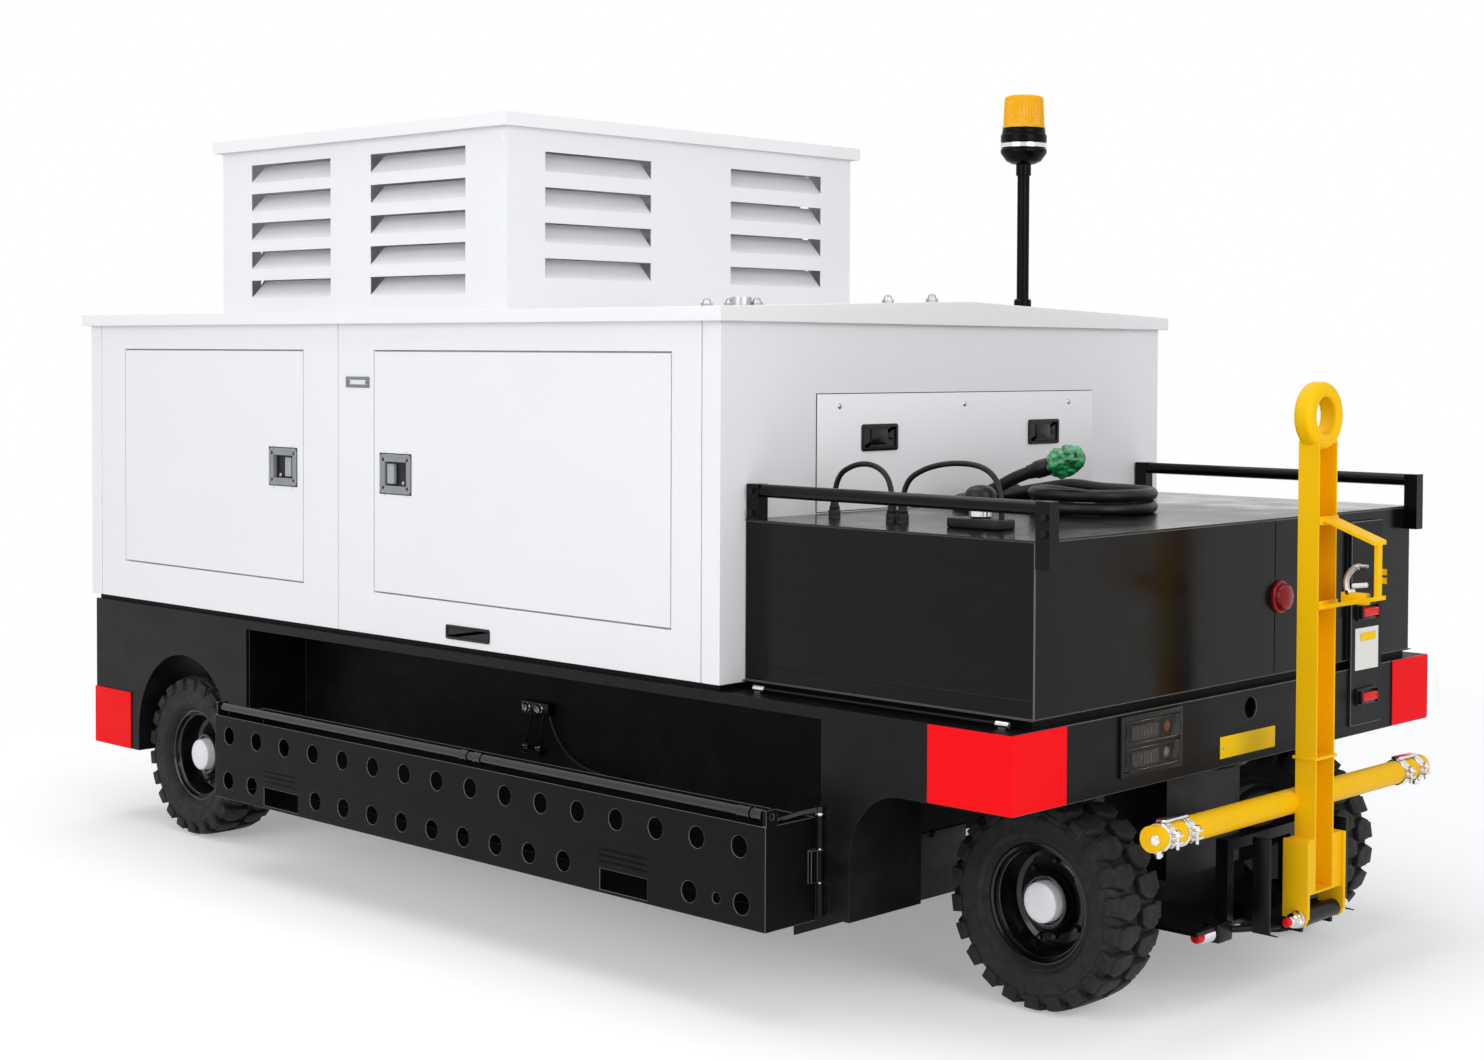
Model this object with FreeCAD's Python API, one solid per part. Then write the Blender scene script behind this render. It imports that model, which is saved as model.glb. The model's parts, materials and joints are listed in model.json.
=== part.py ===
import FreeCAD, Part
import math
import os
from FreeCAD import Placement, Rotation, Vector

os.makedirs("parts", exist_ok=True)

# Towable ground power unit. Millimetres, +X forward, +Y left, +Z up, ground at z = 0.
# Positions along X are measured from the middle of the chassis and moved to the middle
# of the whole unit when each piece is written.

# ---- chassis
half_width = 1075.0            # outer face of the side plates
half_length = 2256.0           # outer face of the end plates
wheel_radius = 295.0           # out to the lug tips
wheel_to_deck = 247.0          # top of the wheels to the top of the deck
chassis_depth = 555.0          # deck to the lower edge of the side plates
apron_depth = 208.0            # deck to the lower edge of the front apron
plate_thickness = 10.0         # side plates and end plates
deck_thickness = 8.0
rail_width = 60.0              # main rails, closed box section
rail_depth = 180.0
rail_spacing = 450.0           # rail centre from the middle
rail_end_gap = 16.0            # rail end to the inside of the end plates
crossmember_width = 60.0
crossmember_depth = 140.0
crossmember_count = 6
crossmember_inset = 130.0
plinth_inset = 13.0            # canopy plinth, in from the canopy's outer face
plinth_height = 18.0
box_plinth_height = 23.0

chassis_top = 2 * wheel_radius + wheel_to_deck
chassis_bottom = chassis_top - chassis_depth
apron_bottom = chassis_top - apron_depth

# ---- axle places
front_overhang = 246.0         # front axle to the front apron
rear_overhang = 619.0          # rear axle to the rear plate
front_axle_x = half_length - front_overhang
rear_axle_x = -half_length + rear_overhang

# ---- side openings and wheel arches
arch_clearance = 20.0          # rear arch radius beyond the wheel
arch_lift = 83.0               # rear arch top above the wheel
arch_shift = 6.0
rear_leg = 102.0               # side plate between the rear arch and the opening
front_leg = 106.0              # side plate between the opening and the front arch
front_arch_reach = 306.0       # front axle back to the front arch
front_arch_radius = 177.0
front_leg_drop = 15.0
recess_drop = 31.0
recess_depth = 245.0           # from the outer face to the belly wall
sheet = 5.0                    # belly, liner and mudguard sheet
belly_lift = 10.0
belly_setback = 348.0          # room behind the steered wheels
liner_depth = 235.0
mudguard_depth = 285.0

rear_arch_radius = wheel_radius + arch_clearance
rear_arch_centre_x = rear_axle_x + arch_shift
rear_arch_top = 2 * wheel_radius + arch_lift
front_arch_x = front_axle_x - front_arch_reach
recess_front = front_arch_x - front_leg
recess_rear = rear_arch_centre_x + rear_arch_radius + rear_leg
recess_top = chassis_top - recess_drop
belly_bottom = chassis_bottom + belly_lift
belly_front = recess_front - belly_setback
front_leg_bottom = chassis_bottom - front_leg_drop

# ---- corner guards
guard_thickness = 5.0
guard_height_front = 205.0
guard_side_front = 277.0
guard_end_front = 225.0
guard_height_rear = 215.0
guard_side_rear = 258.0
guard_end_rear = 220.0

# ---- wheels
tyre_width = 210.0
rim_radius = 165.0
rim_width = 150.0
rim_sheet = 8.0
lug_height = 20.0
lug_count = 22                 # in each of the two rows
lug_width = 54.0
lug_gap = 8.0                  # between the two rows of lugs
lug_inset = 3.0                # lug ends, in from the sidewall
tread_slope = 30.0
side_rise = 60.0               # rim to the flat of the sidewall
hub_cap_radius = 62.0
hub_cap_height = 45.0
hub_seat = 28.0                # wheel centre plane to the hub cap's seat
rim_lip = 8.0                  # rim beyond the tyre's bead
disc_at_rim = 20.0             # wheel disc's inner face behind the centre plane, at the rim
disc_back_at_rim = 32.0        # and its outer face there
disc_at_hub = 12.0
disc_shelf = 30.0              # flat of the disc round the hub cap
disc_bend = 4.0
axle_radius = 28.0
axle_clearance = 0.3
front_outer = 675.0            # outer faces of the front tyres
rear_inset = 32.0              # outer faces of the rear tyres, in from the side plates
axle_end_gap = 2.0             # end of the stub axle to the hub cap
axle_to_wheel = 12.0           # end of the axle beam to the tyre
rear_outer = half_width - rear_inset

# ---- cable box in front of the canopy
box_setback = 9.0              # behind the apron's face
box_length = 1046.0
box_half = 974.0
box_height = 462.0
box_sheet = 4.0
box_flange = 12.0
box_gap = 1.0                  # between the canopy and the box
box_front = half_length - box_setback
box_bottom = chassis_top + box_plinth_height
box_top = box_bottom + box_height

# ---- canopy
canopy_tail = 33.0             # canopy beyond the rear plate
canopy_height = 1067.0
wall = 25.0
return_length = 74.0           # end walls turn round the corners this far
panel_seam = 4.0
seam_from_rear = 1637.0
door_gap = 5.0
seat_gap = 0.3
seal_width = 20.0
seal_thickness = 3.0
rear_door_edge = 253.0         # canopy's rear end to the rear door
rear_door_post = 209.0         # rear door to the side seam
front_door_post = 207.0        # side seam to the front door
front_door_edge = 206.0        # front door to the canopy's front end
door_sill = 145.0
door_header = 127.0
handle_width = 168.0
handle_height = 130.0
handle_frame = 12.0
handle_proud = 4.0
handle_depth = 20.0
handle_inset = 118.0           # handle centre from the door's free edge
handle_drop = 402.0

canopy_rear = -half_length - canopy_tail
canopy_front = box_front - box_length - box_gap
canopy_bottom = chassis_top + plinth_height
canopy_top = canopy_bottom + canopy_height
side_seam_x = canopy_rear + seam_from_rear
rear_door = (canopy_rear + rear_door_edge, side_seam_x - rear_door_post)
front_door = (side_seam_x + front_door_post, canopy_front - front_door_edge)
door_bottom = canopy_bottom + door_sill
door_top = canopy_top - door_header
rear_handle_x = rear_door[1] - handle_inset
front_handle_x = front_door[0] + handle_inset
handle_z = door_top - handle_drop

# ---- roof
roof_overhang = 26.0
roof_lip = 42.0
roof_sheet = 6.0
roof_rise = 35.0
roof_seat = 1.0

# ---- louvred air outlet on the roof
outlet_from_rear = 537.0
outlet_length = 1693.0
outlet_half = 830.0
outlet_height = 653.0
outlet_sheet = 4.0
outlet_lid_overhang = 27.0
outlet_lid_depth = 45.0
louvre_height = 66.0
side_louvre_rear_inset = 191.0
side_louvre_rear_width = 508.0
side_louvre_front_inset = 218.0
side_louvre_front_width = 537.0
side_louvre_count = 5
side_louvre_drop = 91.0
side_louvre_lift = 61.0
end_louvre_inset = 162.0
end_louvre_width = 475.0
end_louvre_count = 4
end_louvre_drop = 112.0
end_louvre_lift = 114.0
blade_reach = 62.0
blade_thickness = 3.0

outlet_rear = canopy_rear + outlet_from_rear
outlet_front = outlet_rear + outlet_length
outlet_top = canopy_top + outlet_height
side_louvre_top = outlet_top - side_louvre_drop
end_louvre_top = outlet_top - end_louvre_drop
rear_column = outlet_rear + side_louvre_rear_inset
front_column = outlet_front - side_louvre_front_inset
side_louvre_columns = ((rear_column, rear_column + side_louvre_rear_width),
                       (front_column - side_louvre_front_width, front_column))
end_column = outlet_half - end_louvre_inset
end_louvre_columns = ((-end_column, -end_column + end_louvre_width),
                      (end_column - end_louvre_width, end_column))

# ---- front access panel
access_half = 680.0
access_drop = 246.0
access_sheet = 3.0
access_lap = 20.0
latch_width = 160.0
latch_height = 78.0
latch_drop = 131.0
latch_spread = 410.0
latch_proud = 6.0
access_top = canopy_top - access_drop
latch_z = access_top - latch_drop

# ---- guard rails on the cable box
rail_tube_radius = 19.0
rail_lift = 102.0
rail_post = 45.0
rail_post_thickness = 40.0
rail_post_drop = 72.0
rail_tube_top = box_top + rail_lift
rail_post_bottom = box_top - rail_post_drop

# ---- drive set inside the canopy
engine_from_rear = 389.0
engine_length = 1200.0
engine_half = 350.0
engine_height = 745.0
alternator_gap = 10.0
alternator_length = 890.0
alternator_half = 330.0
alternator_height = 595.0
engine_start = canopy_rear + engine_from_rear
alternator_start = engine_start + engine_length + alternator_gap

# ---- lifting points on the roof
lifting_inset = 140.0          # from the canopy's rear end
lifting_forward = 550.0        # from the canopy's front end
lifting_half = 450.0
lifting_radius = 32.0
lifting_height = 32.0

# ---- beacon
beacon_setback = 237.0         # from the canopy's front
beacon_y = 600.0
beacon_flange_radius = 55.0
beacon_flange = 10.0
beacon_pole_radius = 21.0
beacon_pole_height = 559.0
beacon_base_radius = 80.0
beacon_base_height = 94.0
beacon_lens_radius = 74.0
beacon_lens_height = 112.0
beacon_x = canopy_front - beacon_setback
beacon_base_bottom = canopy_top + beacon_pole_height
beacon_lens_bottom = beacon_base_bottom + beacon_base_height
beacon_top = beacon_lens_bottom + beacon_lens_height

# ---- lamps, plates and switches
lamp_from_side = 603.0         # cluster's centre, in from the side plate
lamp_width = 288.0
lamp_lift = 35.0               # above the apron's lower edge
lamp_height = 167.0
lamp_proud = 10.0
lamp_border = 16.0
lamp_bar = 14.0
lens_proud = 4.0
apron_hole_y = 32.0
apron_hole_drop = 55.0
apron_hole_radius = 31.0
sign_centre_y = 17.0
sign_width = 290.0
sign_height = 62.0
sign_lift = 25.0
plate_sheet = 2.0
strip_from_side = 297.0        # strip's centre, in from the cable box's side
strip_width = 185.0
strip_lift = 31.0
strip_height = 630.0
strip_sheet = 8.0
switch_offset = 9.0
switch_drop = 89.0
switch_rise = 173.0
switch_width = 92.0
switch_height = 34.0
switch_proud = 24.0
data_width = 140.0
data_height = 130.0
data_drop = 7.0
stop_y = 195.0
stop_drop = 232.0
stop_radius = 44.0
stop_proud = 30.0
vent_offset = 49.0             # from the side seam
vent_width = 133.0
vent_height = 37.0
vent_drop = 84.0
slot_offset = 596.0
slot_width = 223.0
slot_height = 46.0
slot_lift = 22.0
trim_proud = 4.0

# ---- side trays
tray_rear_gap = 135.0          # tray's end to the rear end of the opening
tray_gap = 15.0                # tray to the side plate
tray_width = 192.0
tray_drop = 24.0               # below the side plates
tray_height = 283.0
tray_sheet = 4.0
tray_hole_radius = 30.0
tray_hole_count = 16
tray_hole_inset_rear = 87.0
tray_hole_inset_front = 99.0
tray_hole_upper_drop = 65.0
tray_hole_lower_lift = 64.0
low_row_count = 9              # lower holes between the pockets
low_row_from_rear = 99.0       # from the rear pocket
low_row_from_front = 161.0     # from the front pocket
low_rear_end = 81.0            # from the tray's rear end
low_rear_pocket = 74.0
low_front_end = 90.0           # from the tray's front end
low_front_pair = 294.0
drain_inset = 187.0
drain_radius = 15.0
pocket_width = 200.0
pocket_rear_inset = 300.0
pocket_front_inset = 463.0
pocket_height = 60.0
pocket_lift = 10.0
hinge_offset = 6.0             # hinge line ahead of the opening
hinge_end_gap = 12.0           # hinge line to the tray's end
hinge_radius = 9.5
hinge_seat = 0.5
hinge_pin_radius = 5.0
hinge_lift = 14.0
hinge_overhang = 4.0
hinge_split = 4.0
hinge_leaf = 2.0
hinge_leaf_width = 28.0
roller_radius = 19.0
roller_inset = 24.0
roller_lift = 6.0              # roller above the tray's rim
roller_end_gap = 6.0
roller_pin_radius = 8.0
roller_bracket = 12.0
roller_bracket_width = 44.0

hinge_x = recess_front + hinge_offset
hinge_y = half_width + hinge_radius + hinge_seat
tray_x = (recess_rear + tray_rear_gap, hinge_x - hinge_end_gap)
tray_inner = half_width + tray_gap
tray_outer = tray_inner + tray_width
tray_bottom = chassis_bottom - tray_drop
tray_top = tray_bottom + tray_height
tray_hole_upper = tray_top - tray_hole_upper_drop
tray_hole_lower = tray_bottom + tray_hole_lower_lift
pocket_x = ((tray_x[0] + pocket_rear_inset, tray_x[0] + pocket_rear_inset + pocket_width),
            (tray_x[1] - pocket_front_inset - pocket_width, tray_x[1] - pocket_front_inset))
pocket_bottom = tray_bottom + pocket_lift
hinge_low = tray_bottom + hinge_lift
hinge_high = tray_top + hinge_overhang
knuckle_length = (hinge_high - hinge_low - 2 * hinge_split) / 3
roller_y = tray_outer - roller_inset
roller_z = tray_top + roller_lift + roller_radius

# ---- rear axle
beam_size = 80.0
spring_half_length = 400.0
spring_width = 70.0
spring_thickness = 40.0
hanger_length = 60.0

# ---- steered front axle
turntable_radius = 220.0
turntable_thickness = 16.0
turntable_gap = 5.0
kingpin_radius = 30.0
kingpin_clearance = 0.3
bolster_length = 220.0
bolster_width = 380.0
post_setback = 220.0           # tow bar pivot back to the posts
post_length = 40.0
post_y = 150.0
post_width = 30.0
post_drop = 99.0               # below the axle
post_rise = 145.0              # above the axle
floor_thickness = 12.0
floor_half = 330.0

# ---- tow bar, standing upright
pivot_reach = 490.0            # front axle to the tow bar's pivot
pivot_drop = 58.0              # pivot below the axle
pivot_radius = 14.0
pivot_clearance = 0.3
pivot_half = 150.0
pivot_tube_radius = 24.0
pivot_tube_half = 84.0
fork_gap = 6.0                 # pivot tube to the fork
fork_thickness = 12.0
fork_back = 50.0
fork_front = 30.0
fork_rise = 218.0
fork_nose = 26.0
foot_rise = 63.0               # foot of the channel above the pivot
channel_back = 45.0
channel_front = 20.0
channel_half = 50.0
channel_sheet = 6.0
channel_height = 1323.0
eye_radius = 95.0
eye_bore = 52.0
eye_thickness = 60.0
eye_outer_fillet = 20.0
eye_bore_fillet = 12.0
eye_rise = 166.0
arm_rise = 308.0
arm_radius = 35.0
arm_bite = 10.0                # arm let into the back of the channel
arm_half = 715.0
grip_reach = 165.0
grip_bar = 12.0
grip_half_width = 34.0
grip_rise = 856.0
grip_height = 259.0
grip_slope = 60.0              # the upper bar falls this much
grip_lower_slope = 35.0        # the lower bar climbs this much
hook_back = 38.0               # hook behind the grip's upright
hook_length = 80.0
hook_height = 110.0            # above the grip's lower bar
hook_band = 22.0
hook_thickness = 14.0
hook_sink = 2.0
collar_rise = 435.0
clamp_places = (575.0, 665.0)
clamp_width = 28.0
clamp_rim = 7.0

pivot_x = front_axle_x + pivot_reach
pivot_z = wheel_radius - pivot_drop
post_x = (pivot_x - post_setback, pivot_x - post_setback + post_length)
post_z = (wheel_radius - post_drop, wheel_radius + post_rise)
fork_inner = pivot_tube_half + fork_gap
fork_x = (pivot_x - fork_back, pivot_x + fork_front)
fork_top = pivot_z + fork_rise
channel_x = (pivot_x - channel_back, pivot_x + channel_front)
channel_foot = pivot_z + foot_rise
channel_top = pivot_z + channel_height
eye_top = channel_top + eye_rise
arm_x = channel_x[0] - arm_radius + arm_bite
arm_z = pivot_z + arm_rise
grip_bottom = pivot_z + grip_rise
grip_top = grip_bottom + grip_height

# ---- cables on the cable box
lead_radius = 8.0              # thin leads between the glands
lead_y = -750.0
gland_radius = 15.0
gland_nut = 1.4                # nut's radius to the gland's
gland_height = 45.0
cap_base_length = 180.0
cap_base_width = 80.0
cap_base_height = 28.0
cap_x = 1885.0
cap_stem_radius = 25.0
cap_stem = 50.0
cap_radius = 42.0
cap_height = 40.0
cable_radius = 19.0            # output cable
coil_x = 1710.0
coil_y = 0.0
coil_middle_radius = 181.0
coil_gap = 1.0                 # between the two turns
lower_turn_start = 180.0       # degrees round the coil
lower_turn_sweep = 315.0
upper_turn_start = 128.0
upper_turn_sweep = 322.0
outlet_y = 254.0
outlet_radius = 26.0
outlet_length = 66.0
plug_boot_radius = 26.0
plug_boot_length = 35.0
plug_head_radius = 40.0
plug_head_length = 125.0
gland_top = box_top + gland_height
cap_base_top = box_top + cap_base_height
low_turn = box_top + cable_radius
high_turn = low_turn + 2 * cable_radius + coil_gap
rear_lead = [(1340, lead_y, gland_top), (1340, lead_y, gland_top + 73), (1419, lead_y + 4, gland_top + 116),
             (1500, lead_y + 8, gland_top + 113), (1562, lead_y, gland_top + 64), (1562, lead_y, gland_top)]
front_lead = [(1602, lead_y, gland_top), (1602, lead_y, gland_top + 67), (1682, lead_y + 9, gland_top + 115),
              (1800, lead_y + 12, gland_top + 133), (1908, lead_y + 6, gland_top + 120),
              (1958, lead_y, gland_top + 62), (1958, lead_y, cap_base_top)]
outlet_end = canopy_front + access_sheet + outlet_length
cable_in = [(outlet_end, outlet_y, low_turn), (1379, outlet_y, low_turn), (1474, 200, low_turn),
            (1529, 105, low_turn), (coil_x - coil_middle_radius, coil_y, low_turn)]
cable_out = [(coil_x, coil_y + coil_middle_radius, high_turn), (1600, coil_y + coil_middle_radius, high_turn),
             (1484, 202, high_turn + 9), (1388, 204, high_turn - 6), (1295, 150, high_turn - 26),
             (1241, 55, low_turn + 2), (1241, -55, low_turn), (1297, -151, low_turn),
             (1391, -204, low_turn + 8), (1494, -198, low_turn + 50), (1572, -190, low_turn + 92),
             (1640, -184, low_turn + 112)]

# ---- whole unit
overall_rear = canopy_rear - roof_overhang
overall_front = channel_x[1] + grip_reach
middle = (overall_rear + overall_front) / 2.0


def box(x0, x1, y0, y1, z0, z1):
    corner = Vector(min(x0, x1), min(y0, y1), min(z0, z1))
    return Part.makeBox(abs(x1 - x0), abs(y1 - y0), abs(z1 - z0), corner)


def cyl(x, y, z, radius, height, axis=Vector(0, 0, 1)):
    return Part.makeCylinder(radius, height, Vector(x, y, z), axis)


def extrude(points, direction):
    loop = Part.makePolygon([Vector(*p) for p in points] + [Vector(*points[0])])
    return Part.Face(loop).extrude(Vector(*direction))


def join(shapes):
    whole = shapes[0]
    if len(shapes) > 1:
        whole = whole.fuse(shapes[1:])
    return whole.removeSplitter()


def flip(shape):
    return shape.mirror(Vector(0, 0, 0), Vector(0, 1, 0))


def both(shape):
    return [shape, flip(shape)]


def save(name, shapes):
    solids = []
    for shape in shapes:
        moved = shape.copy()
        moved.translate(Vector(-middle, 0, 0))
        solids.extend(moved.Solids)
    result = solids[0] if len(solids) == 1 else Part.makeCompound(solids)
    if not result.isValid():
        print("not valid:", name)
    result.exportStep("parts/" + name + ".step")
    print(name, len(solids), round(result.Volume / 1e6, 3))


Y_AXIS = Vector(0, 1, 0)
X_AXIS = Vector(1, 0, 0)
Z_AXIS = Vector(0, 0, 1)
plate_inner = half_width - plate_thickness
deck_bottom = chassis_top - deck_thickness

# ---- chassis frame: rails, crossmembers, deck, plinth and the fixed turntable ring
rail_bottom = deck_bottom - rail_depth
rail_reach = half_length - plate_thickness - rail_end_gap
pieces = [box(-half_length + plate_thickness, half_length - plate_thickness,
              -plate_inner, plate_inner, deck_bottom, chassis_top)]
for side in (-1, 1):
    centre = side * rail_spacing
    pieces.append(box(-rail_reach, rail_reach, centre - rail_width / 2, centre + rail_width / 2,
                      rail_bottom, deck_bottom))
crossmember_reach = rail_reach - crossmember_inset
for i in range(crossmember_count):
    place = -crossmember_reach + 2 * crossmember_reach * i / (crossmember_count - 1)
    pieces.append(box(place - crossmember_width / 2, place + crossmember_width / 2,
                      -rail_spacing, rail_spacing, deck_bottom - crossmember_depth, deck_bottom))
pieces.append(box(-half_length + plate_thickness, canopy_front - plinth_inset,
                  -half_width + plinth_inset, half_width - plinth_inset, chassis_top, canopy_bottom))
pieces.append(box(canopy_front + box_gap + plinth_inset, box_front - plinth_inset,
                  -box_half + plinth_inset, box_half - plinth_inset, chassis_top, box_bottom))
ring_bottom = rail_bottom - turntable_thickness
pieces.append(cyl(front_axle_x, 0, ring_bottom, turntable_radius, deck_bottom - ring_bottom))
frame = join(pieces)
frame = frame.cut(cyl(front_axle_x, 0, ring_bottom, kingpin_radius + kingpin_clearance,
                      deck_bottom - ring_bottom))
save("chassis_frame", [frame])

# ---- side plates with arch liners, mudguards and the fixed knuckles of the tray hinges
arch_centre_z = rear_arch_top - rear_arch_radius
outline = [(-half_length, chassis_bottom), (-half_length, chassis_top), (half_length, chassis_top),
           (half_length, apron_bottom), (front_arch_x, apron_bottom), (front_arch_x, front_leg_bottom),
           (recess_front, front_leg_bottom), (recess_front, recess_top), (recess_rear, recess_top),
           (recess_rear, chassis_bottom)]
panel = extrude([(x, -half_width, z) for x, z in outline], (0, plate_thickness, 0))
arch_tool = cyl(rear_arch_centre_x, -half_width, arch_centre_z, rear_arch_radius,
                plate_thickness + liner_depth, Y_AXIS)
arch_tool = arch_tool.fuse(box(rear_arch_centre_x - rear_arch_radius, rear_arch_centre_x + rear_arch_radius,
                               -half_width, -plate_inner + liner_depth, 0, arch_centre_z))
liner = cyl(rear_arch_centre_x, -plate_inner, arch_centre_z, rear_arch_radius + sheet, liner_depth, Y_AXIS)
liner = liner.fuse(box(rear_arch_centre_x - rear_arch_radius - sheet,
                       rear_arch_centre_x + rear_arch_radius + sheet,
                       -plate_inner, -plate_inner + liner_depth, chassis_bottom, arch_centre_z))
front_corner = box(front_arch_x, front_arch_x + front_arch_radius, -half_width, -plate_inner,
                   apron_bottom - front_arch_radius, apron_bottom)
front_corner = front_corner.cut(cyl(front_arch_x + front_arch_radius, -half_width,
                                    apron_bottom - front_arch_radius, front_arch_radius,
                                    plate_thickness, Y_AXIS))
mudguard = box(front_arch_x - sheet, front_arch_x, -plate_inner, -plate_inner + mudguard_depth,
               front_leg_bottom, deck_bottom)
side_plate = join([panel, front_corner, liner, mudguard]).cut(arch_tool)
knuckles = []
for low in (hinge_low, hinge_high - knuckle_length):
    knuckles.append(cyl(hinge_x, -hinge_y, low, hinge_radius, knuckle_length))
    knuckles.append(box(hinge_x - hinge_leaf, hinge_x + hinge_leaf_width, -half_width - hinge_leaf,
                        -half_width, low, low + knuckle_length))
pin = cyl(hinge_x, -hinge_y, hinge_low, hinge_pin_radius, hinge_high - hinge_low)
side_plate = join([side_plate, pin] + knuckles)
save("side_plates", both(side_plate))

# ---- end plates: front apron and rear plate
apron = box(half_length - plate_thickness, half_length, -plate_inner, plate_inner, apron_bottom, chassis_top)
apron = apron.cut(cyl(half_length - plate_thickness, apron_hole_y, chassis_top - apron_hole_drop,
                      apron_hole_radius, plate_thickness, X_AXIS))
rear_plate = box(-half_length, -half_length + plate_thickness, -plate_inner, plate_inner,
                 chassis_bottom, chassis_top)
save("end_plates", [apron, rear_plate])

# ---- belly box between the side openings, with the closing sheets of the openings
belly_half = half_width - recess_depth
belly = box(recess_rear, belly_front, -belly_half, belly_half, belly_bottom, deck_bottom)
belly = belly.cut(box(recess_rear + sheet, belly_front - sheet, -belly_half + sheet, belly_half - sheet,
                      belly_bottom + sheet, deck_bottom))
closing = [belly]
for side in (-1, 1):
    closing.append(box(belly_front - sheet, recess_front + sheet, side * (belly_half - sheet),
                       side * belly_half, belly_bottom, deck_bottom))
    closing.append(box(recess_rear, recess_rear + sheet, side * (belly_half - sheet),
                       side * plate_inner, belly_bottom, deck_bottom))
    closing.append(box(recess_front, recess_front + sheet, side * (belly_half - sheet),
                       side * plate_inner, belly_bottom, deck_bottom))
belly = join(closing)
notch = box(-rail_reach, rail_reach, -rail_spacing - rail_width / 2, rail_spacing + rail_width / 2,
            rail_bottom, deck_bottom)
belly = belly.cut(notch)
save("belly_box", [belly])

# ---- red corner guards
def guard(end, side_length, end_length, bottom, top):
    face = end * half_length
    along = box(face - end * side_length, face + end * guard_thickness, -half_width - guard_thickness,
                -half_width, bottom, top)
    across = box(face, face + end * guard_thickness, -half_width - guard_thickness,
                 -half_width + end_length, bottom, top)
    return join([along, across])


guards = both(guard(1, guard_side_front, guard_end_front, chassis_top - guard_height_front, chassis_top))
guards += both(guard(-1, guard_side_rear, guard_end_rear, chassis_bottom, chassis_bottom + guard_height_rear))
save("corner_guards", guards)

# ---- canopy side walls with door openings and seal flanges
def wall_sheet(x0, x1, door):
    sheet_body = box(x0, x1, -half_width, -half_width + wall, canopy_bottom, canopy_top)
    hole = box(door[0] - door_gap, door[1] + door_gap, -half_width, -half_width + wall,
               door_bottom - door_gap, door_top + door_gap)
    inner = -half_width + wall + seat_gap
    seal = box(door[0] - door_gap - seal_width, door[1] + door_gap + seal_width, -half_width + wall,
               inner + seal_thickness, door_bottom - door_gap - seal_width,
               door_top + door_gap + seal_width)
    seal = seal.cut(box(door[0] - door_gap, door[1] + door_gap, -half_width + wall, inner,
                        door_bottom - door_gap, door_top + door_gap))
    seal = seal.cut(box(door[0] + seal_width, door[1] - seal_width, -half_width + wall,
                        inner + seal_thickness, door_bottom + seal_width, door_top - seal_width))
    return join([sheet_body.cut(hole), seal])


walls = both(wall_sheet(canopy_rear + return_length + panel_seam, side_seam_x - panel_seam / 2, rear_door))
walls += both(wall_sheet(side_seam_x + panel_seam / 2, canopy_front - return_length - panel_seam, front_door))
save("side_walls", walls)

# ---- canopy end walls, turned round the corners, with a gable under the roof
roof_half = half_width + roof_overhang
roof_edge_top = canopy_top + roof_sheet + roof_seat
roof_lip_bottom = roof_edge_top - roof_lip
roof_slope = roof_rise / roof_half


def roof_under(y):
    return roof_edge_top - roof_sheet + (roof_half - abs(y)) * roof_slope


gable = [(-half_width, canopy_bottom), (half_width, canopy_bottom), (half_width, roof_under(half_width)),
         (0, roof_under(0)), (-half_width, roof_under(half_width))]


def end_wall(face, inward):
    outer = extrude([(face, y, z) for y, z in gable], (inward * return_length, 0, 0))
    hollow = box(face + inward * wall, face + inward * return_length, -half_width + wall,
                 half_width - wall, canopy_bottom, roof_under(0))
    return outer.cut(hollow)


front_wall = end_wall(canopy_front, -1)
access_opening = box(canopy_front - wall, canopy_front, -access_half + access_lap,
                     access_half - access_lap, box_top + access_lap, access_top - access_lap)
front_wall = front_wall.cut(access_opening)
save("end_walls", [front_wall, end_wall(canopy_rear, 1)])

# ---- roof: gabled sheet with a lip all round
def roof_profile(x, inset, drop):
    return [(x, -roof_half + inset, roof_lip_bottom), (x, -roof_half + inset, roof_edge_top - drop),
            (x, 0, roof_edge_top + roof_rise - drop), (x, roof_half - inset, roof_edge_top - drop),
            (x, roof_half - inset, roof_lip_bottom)]


roof_start = canopy_rear - roof_overhang
roof_end = canopy_front + roof_overhang
roof_outer = extrude(roof_profile(roof_start, 0, 0), (roof_end - roof_start, 0, 0))
roof_inner = extrude(roof_profile(roof_start + roof_sheet, roof_sheet, roof_sheet - roof_slope * roof_sheet),
                     (roof_end - roof_start - 2 * roof_sheet, 0, 0))
roof = roof_outer.cut(roof_inner)
save("roof", [roof])

# ---- louvred air outlet
outlet = box(outlet_rear, outlet_front, -outlet_half, outlet_half, canopy_top, outlet_top)
outlet = outlet.cut(box(outlet_rear + outlet_sheet, outlet_front - outlet_sheet,
                        -outlet_half + outlet_sheet, outlet_half - outlet_sheet, canopy_top, outlet_top))
cuts = []
blades = []
side_louvre_span = side_louvre_top - louvre_height - roof_edge_top - side_louvre_lift
side_louvre_pitch = side_louvre_span / (side_louvre_count - 1)
end_louvre_span = end_louvre_top - louvre_height - roof_edge_top - end_louvre_lift
end_louvre_pitch = end_louvre_span / (end_louvre_count - 1)
for x0, x1 in side_louvre_columns:
    for row in range(side_louvre_count):
        top = side_louvre_top - row * side_louvre_pitch
        for side in (-1, 1):
            face = side * outlet_half
            cuts.append(box(x0, x1, face, face - side * outlet_sheet, top - louvre_height, top))
            low = top - louvre_height
            blades.append(extrude([(x0, face, low), (x0, face - side * blade_reach, top),
                                   (x0, face - side * blade_reach, top - blade_thickness),
                                   (x0, face, low - blade_thickness)], (x1 - x0, 0, 0)))
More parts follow.
